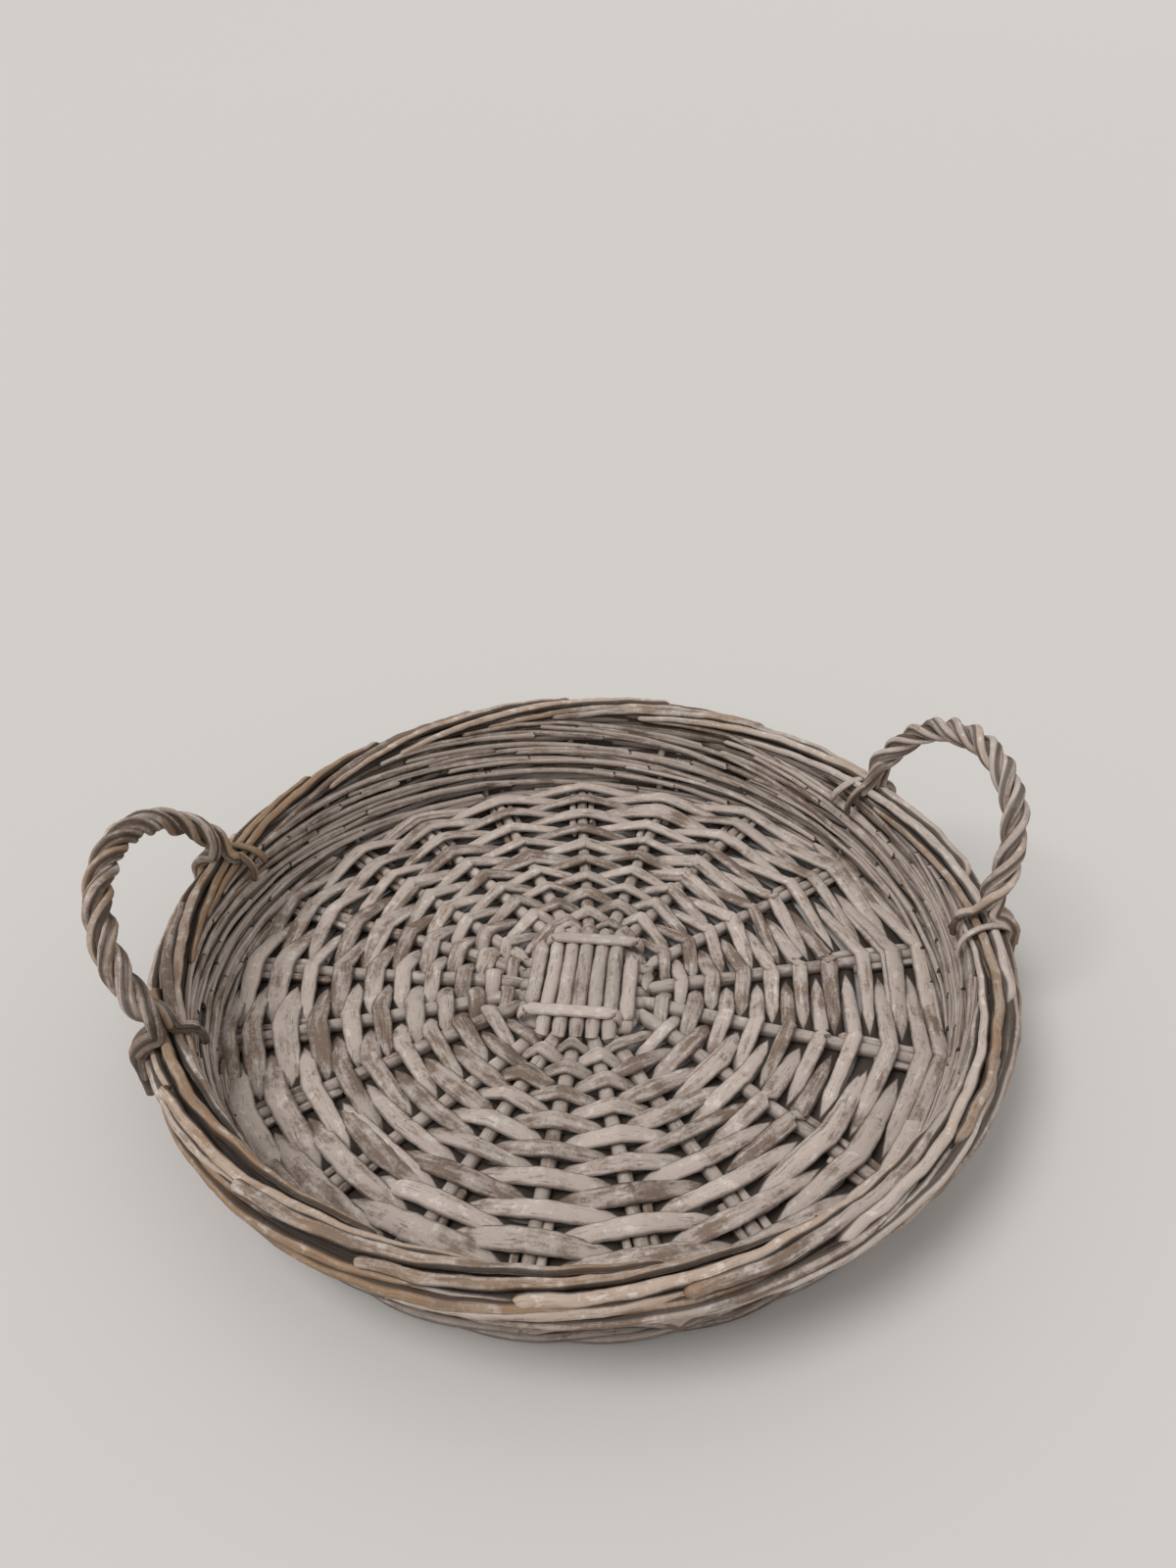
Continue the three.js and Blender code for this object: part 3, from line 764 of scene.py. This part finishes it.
class TRAY_OT_slath_bars(bpy.types.Operator):
    """The split bars that bind the four sides of the cross, each past the end of the next"""

    bl_idname = "tray.slath_bars"
    bl_label = "Slath bars"

    def execute(self, context):
        chance = np.random.default_rng(SEED + 1)
        across_x = np.array([1.0, 0.0, 0.0])
        across_y = np.array([0.0, 1.0, 0.0])
        end_top = UPPER_LEVEL + BAR_WRAP
        side_top = LOWER_LEVEL + BAR_WRAP + SIDE_BAR_LIFT
        rods = [
            self.bar(chance, END_BAR * across_y, across_x, end_top, END_BAR_DEPTH),
            self.bar(chance, -END_BAR * across_y, -across_x, end_top, END_BAR_DEPTH),
            self.bar(chance, -SIDE_BAR * across_x, across_y, side_top, SIDE_BAR_DEPTH),
            self.bar(chance, SIDE_BAR * across_x, -across_y, side_top, SIDE_BAR_DEPTH),
        ]
        for right, far in ((1, 1), (1, -1), (-1, 1), (-1, -1)):
            rods.append(self.corner(chance, right, far))
        add_rods("slath_bars", rods, STICK_FINISH, nodes_named("slath_bar"), sides=16)
        return {"FINISHED"}

    def corner(self, chance, right, far):
        """The strip that goes on aslant under a corner, from one bar to the next."""
        outer = (STICKS_EACH_WAY - 1) / 2 * sizes().stick_spacing
        from_end = ((outer, END_BAR + 0.001), (outer + 0.0045, END_BAR))
        to_side = ((SIDE_BAR + 0.001, outer + 0.005), (SIDE_BAR, outer))
        levels = (WEAVE_LEVEL, WEAVE_LEVEL + 0.001, WEAVE_LEVEL, WEAVE_LEVEL - 0.002)
        points = [(right * x, far * y, z) for (x, y), z in zip(from_end + to_side, levels)]
        path = smooth_path(points, 0.0012)
        return make_rod(chance, path, CORNER_WIDTH, CORNER_DEPTH, under=SPLIT_UNDERSIDE)

    def bar(self, chance, place, along, top, depth):
        """A bar over one side's sticks, turned down at both ends."""
        outer = (STICKS_EACH_WAY - 1) / 2 * sizes().stick_spacing
        turns = np.radians(np.linspace(-15, 90, 6))
        ahead = outer + BAR_EXTRA + BAR_WRAP * np.cos(turns)
        behind = -outer - BAR_WRAP * np.cos(turns[::-1])
        run = np.concatenate([ahead, behind])
        rise = BAR_WRAP * np.concatenate([np.sin(turns), np.sin(turns[::-1])])
        points = place + along * run[:, None]
        points[:, 2] = top - BAR_WRAP + rise
        path = smooth_path(points, 0.0012)
        side = np.cross(UPRIGHT, along)
        up = np.cross(tangents(path), np.tile(side, (len(path), 1)))
        up *= np.sign(up[len(path) // 2, 2])
        width = BAR_WIDTH * (0.6 + 0.4 * rounded_ends(path, 0.004))
        return make_rod(chance, path, width, depth, up=up, under=SPLIT_UNDERSIDE)


class TRAY_OT_base_weave(bpy.types.Operator):
    """The split strips that go over one stick and under the next, in one long spiral"""

    bl_idname = "tray.base_weave"
    bl_label = "Base weave"

    def execute(self, context):
        chance = np.random.default_rng(SEED + 2)
        self.spokes = all_spokes()
        count = len(self.spokes)
        crossings = (sizes().rows + 1) * count + 2
        self.drift = chance.normal(0, ROW_DRIFT, crossings)
        self.lift = chance.normal(0, ROW_LIFT, crossings)
        rods = []
        first = 1
        while first < crossings - 2:
            last = min(first + 2 * int(chance.integers(*STRIP_PAIRS)), crossings - 1)
            rods.append(self.strip(chance, max(first - 2, 0), last))
            first = last
        nodes = sorted(nodes_named("base_weaver"))
        inner_rods = int(len(rods) * INNER_STRIPS)
        inner_nodes = len(nodes) // 2
        inner = ("base_weave_inner", rods[:inner_rods], nodes[:inner_nodes])
        outer = ("base_weave_outer", rods[inner_rods:], nodes[inner_nodes:])
        for name, strips, weavers in (inner, outer):
            add_rods(name, strips, BASE_FINISH, weavers, sides=14)
        return {"FINISHED"}

    def crossing(self, k, shift, sink):
        """Where the spiral lies flat over or under a stick and the stakes beside it."""
        count = len(self.spokes)
        spoke = self.spokes[k % count]
        first = np.linalg.norm(spoke.exit) + FIRST_ROW_GAP
        share = min(k / (sizes().rows * count), 1.0)
        radius = first + (LAST_ROW - first) * share + self.drift[k] + shift
        rise = sizes().stick / 2 + STRIP_CLEARANCE
        z = stick_level(spoke, radius) + (-rise if k % 2 else rise) + self.lift[k] - sink
        grown = min(max((radius - FLAT_GROWS_FROM) / FLAT_GROWS_OVER, 0.0), 1.0)
        flat = INNER_FLAT + OUTER_FLAT * grown
        before = flat + (sizes().stake if radius > SECOND_STAKE_START else 0.0)
        after = flat + (sizes().stake if radius > STAKE_START else 0.0)
        z = max(z, LOWEST_CROSSING)
        return [on_spoke(spoke, radius, z, -before), on_spoke(spoke, radius, z, after)]

    def strip(self, chance, first, last):
        """One split rod, widest where it shows over a stick and cut to a point at both ends."""
        points = []
        for k in range(first, last + 1):
            starting = k < first + 2
            shift = START_SHIFT if starting else END_SHIFT if k > last - 2 else 0.0
            points += self.crossing(k, shift, START_SINK if starting else 0.0)
        head = points[0] + 0.9 * (points[0] - points[1]) * FLAT
        tail = points[-1] + 0.9 * (points[-1] - points[-2]) * FLAT
        path = smooth_path([head, *points, tail], 0.0013)
        run = run_lengths(path)
        bearing = np.arctan2(path[:, 1], path[:, 0])
        front = np.clip(np.cos(bearing - math.radians(WIDE_STRIPS)), 0, 1)
        reach = np.linalg.norm(path[:, :2], axis=1) / BASE_RADIUS
        slow = 0.05 * np.sin(run / 0.031 + chance.uniform(0, 6))
        quick = 0.05 * np.sin(run / 0.013 + chance.uniform(0, 6))
        wave = slow + quick
        over = np.clip((path[:, 2] - WEAVE_LEVEL) / 0.0038, -1, 1)
        leaf = np.where(over > 0, 0.15, -0.7) * over
        grown = 0.84 + 0.16 * reach + 0.30 * front * reach
        from_end = np.clip(np.minimum(run, run[-1] - run) / POINT_LENGTH, 0, 1)
        pointed = POINT_WIDTH + (1 - POINT_WIDTH) * from_end
        width = sizes().strip_width * chance.uniform(0.9, 1.1) * grown * (1 + wave + leaf) * pointed
        depth = sizes().strip_depth * chance.uniform(0.88, 1.15)
        roll = 7 * np.sin(run / 0.045 + chance.uniform(0, 6)) + chance.normal(0, 4)
        roll = roll * np.clip((path[:, 2] - 0.002) / 0.003, 0, 1)
        # Painted shade: the strip darkens where it dips below the weave level under a stick.
        tuck = np.clip((WEAVE_LEVEL + 0.0003 - path[:, 2]) / 0.0032, 0, 1)
        return make_rod(chance, path, width, depth, roll=roll, under=STRIP_UNDERSIDE, tuck=tuck)


class TRAY_OT_border(bpy.types.Operator):
    """Stakes that stand up from the base and are laid over the rim, and the long rods outside them"""

    bl_idname = "tray.border"
    bl_label = "Stakes and border"

    def execute(self, context):
        chance = np.random.default_rng(SEED + 3)
        rods = []
        for i, spoke in enumerate(all_spokes()):
            rods.append(self.stake(chance, i, spoke))
            rods.append(self.second_stake(chance, spoke))
        for first, proud in CLIMBING_LAYERS:
            rods += self.climbing_rods(chance, first, proud)
        rods += self.long_rods(chance, LONG_ROD_TURN)
        for turn in CORE_TURNS:
            rods.append(self.core_rod(chance, turn))
        nodes = nodes_named("stake")
        add_rods("stakes_and_border", rods, BORDER_FINISH, nodes, sides=10, knob_share=0.24)
        return {"FINISHED"}

    def on_roll(self, place, turn, grow=0.0):
        """A point of the roll at a place counted in stakes, turned from its outer side over the top."""
        turn = np.radians(turn)
        bearing = bearing_at(place)
        out = polar(1.0, bearing, 0.0) * ((ROLL_REACH + grow) * np.cos(turn))[..., None]
        up = UPRIGHT * ((ROLL_RISE + grow) * np.sin(turn))[..., None]
        return roll_middle(bearing) + out + up

    def off_roll(self, path):
        """Directions that stand out from the middle of the border."""
        off = path - roll_middle(bearings_of(path))
        return off / np.linalg.norm(off, axis=1, keepdims=True)

    def stake(self, chance, i, spoke):
        """A stake beside a stick, up the wall, and over the top of the border to its inner side."""
        aside = sizes().stick / 2 + sizes().stake / 2
        foot = [
            *stake_foot(spoke, STAKE_START, aside),
            on_wall(bearing_at(i), WALL_HIGH),
            roll_middle(bearing_at(i)) + polar(0.0015, bearing_at(i), -0.001),
        ]
        runs = LAID_PLACES * chance.uniform(0.9, 1.12)
        turns = LAID_TURNS + chance.normal(0, 4)
        proud = LAID_PROUD + chance.uniform(*PROUD_SPREAD)
        over = [self.on_roll(i + run, turn, grow) for run, turn, grow in zip(runs, turns, proud)]
        path = wavy(chance, smooth_path([*foot, *over], 0.0016), 0.00025, 0.05)
        run = run_lengths(path)
        laid = np.clip((path[:, 2] - WALL_HIGH) / 0.008, 0, 1)
        full = sizes().border_rod * chance.uniform(0.9, 1.15)
        taper = 1 - 0.4 * np.clip(2.5 * run / run[-1] - 1.5, 0, 1)
        width = (sizes().stake + (full - sizes().stake) * laid) * taper * rounded_ends(path, 0.002)
        inward = UPRIGHT - polar(1.0, bearings_of(path), 0.0)
        up = self.off_roll(path) * laid[:, None] + inward * (1 - laid)[:, None]
        return make_rod(chance, path, width, up=up)

    def second_stake(self, chance, spoke):
        """A thinner rod on the other side of the stick, which stops in the wall below the border."""
        aside = -sizes().stick / 2 - sizes().stake / 2
        start = SECOND_STAKE_START + chance.uniform(-0.006, 0.01)
        points = [*stake_foot(spoke, start, aside), on_wall(spoke.bearing - 1.3, WALL_HIGH)]
        path = smooth_path(points, 0.003)
        inward = UPRIGHT - polar(1.0, bearings_of(path), 0.0)
        return make_rod(chance, path, sizes().stake * chance.uniform(0.85, 1.0), up=inward)

    def climbing_rods(self, chance, first, proud):
        """One layer of rods on the outer side that climb from under the border to its top."""
        rods = []
        for i in range(len(all_spokes())):
            place = i + first + chance.uniform(-0.2, 0.2)
            length = chance.uniform(4.1, 4.9)
            share = np.linspace(0, 1, 70)
            lie = CLIMB_START + CLIMB_SWEEP * share + chance.normal(0, 4)
            tip = np.clip((share - 0.88) / 0.12, 0, 1)
            sunk = proud + chance.uniform(*PROUD_SPREAD) - CLIMB_SINK * tip
            path = wavy(chance, self.on_roll(place + length * share, lie, sunk), 0.00025, 0.05)
            thin = 1 - 0.4 * np.clip((share - 0.78) / 0.22, 0, 1)
            width = sizes().border_rod * chance.uniform(0.8, 1.05) * thin * rounded_ends(path, 0.0025)
            rods.append(make_rod(chance, path, width, up=self.off_roll(path)))
        return rods

    def long_rods(self, chance, turn):
        """Thin rods under the border, one after the other round the rim."""
        rods = []
        place = chance.uniform(0, 4)
        end = place + len(all_spokes())
        while place < end - 0.5:
            length = min(chance.uniform(4.5, 7.5), end - place)
            places = np.linspace(place - 0.25, place + length + 0.1, int(10 * length))
            lie = turn + np.linspace(-7, 9, len(places)) + chance.normal(0, 2)
            path = wavy(chance, self.on_roll(places, lie), 0.0002, 0.07)
            width = sizes().border_rod * chance.uniform(0.68, 0.82) * rounded_ends(path, 0.0025)
            rods.append(make_rod(chance, path, width, up=self.off_roll(path)))
            place += length
        return rods

    def core_rod(self, chance, turn):
        """A rod inside the roll, dark all over as painted shade between the others."""
        places = np.linspace(0, len(all_spokes()), 160)
        # Painted shade: the whole rod takes the crack colour.
        return make_rod(chance, self.on_roll(places, turn, CORE_GROW), sizes().stake, tuck=1.0)


class TRAY_OT_foot_rods(bpy.types.Operator):
    """The rods under the bends of the stakes, twisted in pairs round the outer lower edge"""

    bl_idname = "tray.foot_rods"
    bl_label = "Foot rods"

    def execute(self, context):
        chance = np.random.default_rng(SEED + 4)
        rods = []
        for start in (0, 180):
            for phase in (0, 180):
                bearing = np.linspace(start, start + 184, 200)
                turn = np.radians(FOOT_TWIST * bearing + phase)
                radius = FOOT_RING + FOOT_TWIST_RADIUS * np.cos(turn)
                path = polar(radius, bearing, FOOT_RING_LEVEL + FOOT_TWIST_RADIUS * np.sin(turn))
                path = wavy(chance, path, 0.0001, 0.08)
                width = sizes().foot_rod * chance.uniform(0.9, 1.05) * rounded_ends(path, 0.002)
                rods.append(make_rod(chance, path, width))
        add_rods("foot_rods", rods, WALL_FINISH, nodes_named("foot_rod"))
        return {"FINISHED"}


class TRAY_OT_wall_weave(bpy.types.Operator):
    """The thin rods that go in and out of the stakes in a low spiral, and the long rods that line them"""

    bl_idname = "tray.wall_weave"
    bl_label = "Wall weave"

    def execute(self, context):
        chance = np.random.default_rng(SEED + 5)
        count = len(all_spokes())
        pitch = sizes().wall_rod * WALL_PITCH
        low = WALL_LOW - WALL_SINK
        crossings = int((WALL_TOP - low) / pitch * count) + count // 2
        self.lift = chance.normal(0, 0.0004, crossings + 40)
        self.bulge = chance.normal(0, 0.0004, crossings + 40)
        rods = []
        first = 1
        while first < crossings - 2:
            last = min(first + 2 * int(chance.integers(2, 5)) + 1, crossings)
            rods.append(self.rod(chance, first, last, low, pitch / count))
            first = last - int(chance.integers(0, 2))
        lining = self.lining(chance, low)
        # Rings behind the weave, dark all over as painted shade in the gaps of the wall.
        for level in np.arange(low + RING_START, WALL_TOP, RING_STEP):
            ring = on_wall(bearing_at(np.arange(count + 1)), level)
            rods.append(make_rod(chance, ring, RING_HEIGHT, RING_DEPTH, up=ring * FLAT, tuck=1.0))
        add_rods("wall_weave", rods, WALL_FINISH, nodes_named("wall_weaver"), sides=8)
        add_rods("wall_lining", lining, WALL_FINISH, [], sides=8)
        return {"FINISHED"}

    def lining(self, chance, low):
        """Long thin rods that lie aslant on the inner side, from the base up to the border."""
        rods = []
        for i in range(LINING_RODS):
            start = (i + chance.uniform(-0.4, 0.4)) * 360 / LINING_RODS
            span = chance.uniform(24, 54)
            share = np.linspace(0, 1, 60)
            foot = low + 0.001 + 0.026 * (i * LINING_SPREAD % 1)
            climb = chance.uniform(0.006, 0.011)
            if i % LOW_LINING_EVERY == 0:
                foot = low - 0.0006
                climb = 0.002
            height = np.minimum(foot + climb * share, WALL_TOP)
            out = -sizes().stake / 2 - 0.0021 - chance.uniform(0, 0.0012)
            path = wavy(chance, on_wall(start + span * share, height, out), 0.00025, 0.07)
            width = sizes().lining_rod * chance.uniform(0.85, 1.15) * (1 - 0.35 * share)
            tuck = cut_ends(run_lengths(path))
            roll = chance.normal(0, WALL_ROD_ROLL)
            rods.append(make_rod(chance, path, width, LINING_DEPTH, up=-path * FLAT, roll=roll, tuck=tuck))
        return rods

    def rod(self, chance, first, last, low, climb):
        """One rod from thick end to thin tip, cut off at both ends."""
        slope = np.linspace(chance.normal(0, 0.0009), chance.normal(0, 0.0009), last - first + 1)
        points = []
        for k, lean in zip(range(first, last + 1), slope):
            points += self.crossing(k, min(low + climb * k, WALL_TOP) + lean)
        path = smooth_path(points, 0.003)
        run = run_lengths(path)
        thin = 1 - 0.2 * run / run[-1]
        taller = 1 + rim_shift(bearings_of(path))[1] / (WALL_TOP - WALL_LOW)
        width = sizes().wall_rod * chance.uniform(0.85, 1.15) * thin * taller
        roll = chance.normal(0, WALL_ROD_ROLL)
        return make_rod(chance, path, width, WALL_ROD_DEPTH, up=path * FLAT, roll=roll, tuck=cut_ends(run))

    def crossing(self, k, z):
        rise = sizes().stake / 2 + 0.0002
        out = (-rise if k % 2 else rise) + self.bulge[k]
        reach = 0.8
        bearing = bearing_at(k)
        height = z + self.lift[k]
        return [on_wall(bearing - reach, height, out), on_wall(bearing + reach, height, out)]


class TRAY_OT_handles(bpy.types.Operator):
    """Two rope handles of three strands, which part at each foot and straddle the border"""

    bl_idname = "tray.handles"
    bl_label = "Handles"

    def execute(self, context):
        for i, (side, handle) in enumerate((("right", RIGHT_HANDLE), ("left", LEFT_HANDLE))):
            chance = np.random.default_rng(SEED + 6 + i)
            rods = []
            for strand in self.strands(handle):
                rods += self.bundle(chance, strand)
            for bearing, wrapped, inward in zip(handle["feet"], handle["wrapped"], (1, -1)):
                if wrapped:
                    rods.append(self.wrap(chance, bearing, inward))
            nodes = nodes_named(f"handle_{side}")
            add_rods(f"handle_{side}", rods, ROPE_FINISH, nodes, sides=10, knob_share=0.2)
        return {"FINISHED"}

    def rope_axis(self, handle):
        """The rope's middle line in even steps, the outward side of the loop, and its length."""
        first, second = handle["feet"]
        tilt = math.radians(handle["tilt"])
        out = polar(1.0, (first + second) / 2, 0.0)
        ends = [polar(BORDER_RADIUS, bearing, FOOT_LEVEL) for bearing in (first, second)]
        centre = (ends[0] + ends[1]) / 2
        half = ends[0] - centre
        rise = (UPRIGHT * math.cos(tilt) + out * math.sin(tilt)) * handle["rise"]
        outward = out * math.cos(tilt) - UPRIGHT * math.sin(tilt)
        turn = np.linspace(0, math.pi, 400)[:, None]
        fine = centre + half * np.cos(turn) * (1 + LOOP_BULGE * np.sin(turn)) + rise * np.sin(turn)
        run = run_lengths(fine)
        even = np.linspace(0, run[-1], int(run[-1] / 0.002))
        points = np.stack([np.interp(even, run, fine[:, axis]) for axis in range(3)], 1)
        return points, outward, run[-1]

    def strands(self, handle):
        points, outward, length = self.rope_axis(handle)
        turns = round(length / sizes().rope_lay)
        along = tangents(points)
        sideways = np.cross(along, outward)
        share = np.linspace(0, 1, len(points))
        strands = []
        for strand in range(STRANDS):
            lay = math.pi * (1 + 2 * strand / STRANDS)
            turn = (lay + 2 * math.pi * turns * share)[:, None]
            rope = points + LAY_RADIUS * (outward * np.cos(turn) + sideways * np.sin(turn))
            head = self.hitch(handle["feet"][0], lay, 1)[::-1]
            tail = self.hitch(handle["feet"][1], lay, -1)
            strands.append(smooth_path([*head, *rope[2:-2:2], *tail], 0.0016))
        return strands

    def hitch(self, bearing, lay, inward):
        """Below the rope one strand goes inside the border and the others outside."""
        out = polar(1.0, bearing, 0.0)
        aside = np.cross(UPRIGHT, out)
        shift = aside * inward * LAY_RADIUS * math.sin(lay)
        outside = math.cos(lay) > 0
        turns = np.radians(np.linspace(*(HITCH_OUTSIDE if outside else HITCH_INSIDE), 5))
        places = [(HITCH_REACH * math.cos(turn), HITCH_RISE * math.sin(turn)) for turn in turns]
        if outside:
            places.append((HITCH_REACH, -TAIL_DROP))
        points = []
        for reach, rise in places:
            point = out * (BORDER_RADIUS + reach) + shift
            point[2] = BORDER_LEVEL + rise
            points.append(point)
        return points

    def bundle(self, chance, path):
        """A strand as three thin rods that twist about each other."""
        along = tangents(path)
        first = carried_up(path)
        second = np.cross(along, first)
        run = run_lengths(path)
        rods = []
        for rod in range(WITHIES):
            turn = (2 * math.pi * (rod / WITHIES + run / WITHY_LAY) + chance.normal(0, 0.2))[:, None]
            around = path + WITHY_RADIUS * (first * np.cos(turn) + second * np.sin(turn))
            head, tail = rod * chance.uniform(0.006, 0.011, 2)
            kept = (run >= head) & (run <= run[-1] - tail)
            around, middle = around[kept], path[kept]
            width = sizes().withy * chance.uniform(0.85, 1.15) * rounded_ends(around, 0.0015)
            rods.append(make_rod(chance, around, width, up=around - middle))
        return rods

    def wrap(self, chance, bearing, inward):
        """A split rod from a foot that goes aslant over the border and tucks in on both sides."""
        turns = np.linspace(*WRAP_TURNS, 12)
        reach = BORDER_RADIUS + (HITCH_REACH - 0.0012) * np.cos(np.radians(turns))
        level = BORDER_LEVEL + (HITCH_RISE - 0.0014) * np.sin(np.radians(turns))
        lie = bearing - inward * (0.8 + WRAP_SLANT * np.linspace(0, 1, len(turns)))
        path = smooth_path(polar(reach, lie, level), 0.0014)
        middle = roll_middle(bearings_of(path))
        width = WRAP_WIDTH * (0.5 + 0.5 * rounded_ends(path, 0.004))
        return make_rod(chance, path, width, WRAP_DEPTH, up=path - middle, under=SPLIT_UNDERSIDE)


class TRAY_OT_stage(bpy.types.Operator):
    """The floor, the lamp, the light of the room and the camera"""

    bl_idname = "tray.stage"
    bl_label = "Stage"

    def execute(self, context):
        self.floor()
        self.lamp()
        self.room(context)
        context.scene.view_settings.view_transform = "Standard"
        self.camera(context)
        return {"FINISHED"}

    def room(self, context):
        """Even white light from all round, and the floor's colour where the camera sees past it."""
        world = bpy.data.worlds.new("Soft room")
        context.scene.world = world
        world.use_nodes = True
        world.node_tree.nodes.clear()
        tree = Tree(world.node_tree)
        light = tree.add("ShaderNodeBackground", {"Color": (1.0, 1.0, 1.0, 1.0), "Strength": ROOM_STRENGTH})
        seen = tree.add("ShaderNodeBackground", {"Color": (*colours().floor, 1.0), "Strength": 1.0})
        rays = tree.add("ShaderNodeLightPath").outputs
        looking = tree.math("MAXIMUM", rays["Is Glossy Ray"], rays["Is Transmission Ray"])
        looking = tree.math("MAXIMUM", rays["Is Camera Ray"], looking)
        mixed = tree.add("ShaderNodeMixShader", {0: looking, 1: light.outputs[0], 2: seen.outputs[0]})
        tree.add("ShaderNodeOutputWorld", {"Surface": mixed.outputs[0]})

    def floor(self):
        """A flat floor whose far edge curves up."""
        corners = [(0.0, 0.0, 0.0)]
        for radius, z in FLOOR_RINGS:
            corners += polar(radius, np.arange(FLOOR_SIDES) * 360 / FLOOR_SIDES, z).tolist()
        faces = [(0, 1 + i, 1 + (i + 1) % FLOOR_SIDES) for i in range(FLOOR_SIDES)]
        for ring in range(len(FLOOR_RINGS) - 1):
            start = 1 + ring * FLOOR_SIDES
            for i in range(FLOOR_SIDES):
                after = (i + 1) % FLOOR_SIDES
                faces.append((start + i, start + FLOOR_SIDES + i, start + FLOOR_SIDES + after, start + after))
        mesh = bpy.data.meshes.new("floor")
        mesh.from_pydata(corners, [], faces)
        mesh.shade_smooth()
        floor = bpy.data.objects.new("floor", mesh)
        bpy.context.scene.collection.objects.link(floor)
        material = bpy.data.materials.new("Plain floor")
        material.use_nodes = True
        shader = material.node_tree.nodes["Principled BSDF"]
        shader.inputs["Base Color"].default_value = (*colours().floor, 1.0)
        shader.inputs["Roughness"].default_value = FLOOR_ROUGHNESS
        mesh.materials.append(material)

    def lamp(self):
        """A wide soft light from one side, the same all over the floor."""
        light = bpy.data.lights.new("key_lamp", "SUN")
        light.energy = LAMP_STRENGTH
        light.angle = math.radians(LAMP_ANGLE)
        lamp = bpy.data.objects.new("key_lamp", light)
        lamp.location = LAMP_PLACE
        aim = -lamp.location.normalized()
        lamp.rotation_euler = aim.to_track_quat("-Z", "Y").to_euler()
        bpy.context.scene.collection.objects.link(lamp)

    def camera(self, context):
        yaw, pitch, roll = (math.radians(angle) for angle in (CAMERA_YAW, CAMERA_PITCH, CAMERA_ROLL))
        look = np.array([-math.sin(yaw) * math.cos(pitch), math.cos(yaw) * math.cos(pitch), -math.sin(pitch)])
        level = np.array([math.cos(yaw), math.sin(yaw), 0.0])
        upright = np.cross(level, look)
        right = level * math.cos(roll) + upright * math.sin(roll)
        up = upright * math.cos(roll) - level * math.sin(roll)
        data = bpy.data.cameras.new("camera")
        data.sensor_width = CAMERA_SENSOR
        data.lens = CAMERA_LENS
        data.clip_start = 0.01
        camera = bpy.data.objects.new("camera", data)
        turn = Matrix((right, up, -look)).transposed().to_4x4()
        camera.matrix_world = Matrix.Translation(CAMERA_PLACE) @ turn
        context.scene.collection.objects.link(camera)
        context.scene.camera = camera


OPERATORS = (
    TRAY_OT_stage,
    TRAY_OT_base_sticks,
    TRAY_OT_slath_bars,
    TRAY_OT_base_weave,
    TRAY_OT_border,
    TRAY_OT_foot_rods,
    TRAY_OT_wall_weave,
    TRAY_OT_handles,
)


class TRAY_PT_panel(bpy.types.Panel):
    """Lists the tray's pieces, sizes and colours"""

    bl_label = "Wicker tray"
    bl_idname = "TRAY_PT_panel"
    bl_space_type = "VIEW_3D"
    bl_region_type = "UI"
    bl_category = "Tray"

    def draw(self, context):
        for operator in OPERATORS:
            self.layout.operator(operator.bl_idname)
        for group in (context.scene.tray_sizes, context.scene.tray_colours):
            for name in group.bl_rna.properties.keys():
                if name not in {"rna_type", "name"}:
                    self.layout.prop(group, name)


CLASSES = (TraySizes, TrayColours, *OPERATORS, TRAY_PT_panel)


def register():
    for item in CLASSES:
        bpy.utils.register_class(item)
    bpy.types.Scene.tray_sizes = bpy.props.PointerProperty(type=TraySizes)
    bpy.types.Scene.tray_colours = bpy.props.PointerProperty(type=TrayColours)


def unregister():
    del bpy.types.Scene.tray_colours
    del bpy.types.Scene.tray_sizes
    for item in reversed(CLASSES):
        bpy.utils.unregister_class(item)


def main():
    register()
    for operator in OPERATORS:
        group, name = operator.bl_idname.split(".")
        getattr(getattr(bpy.ops, group), name)()


if __name__ == "__main__":
    main()
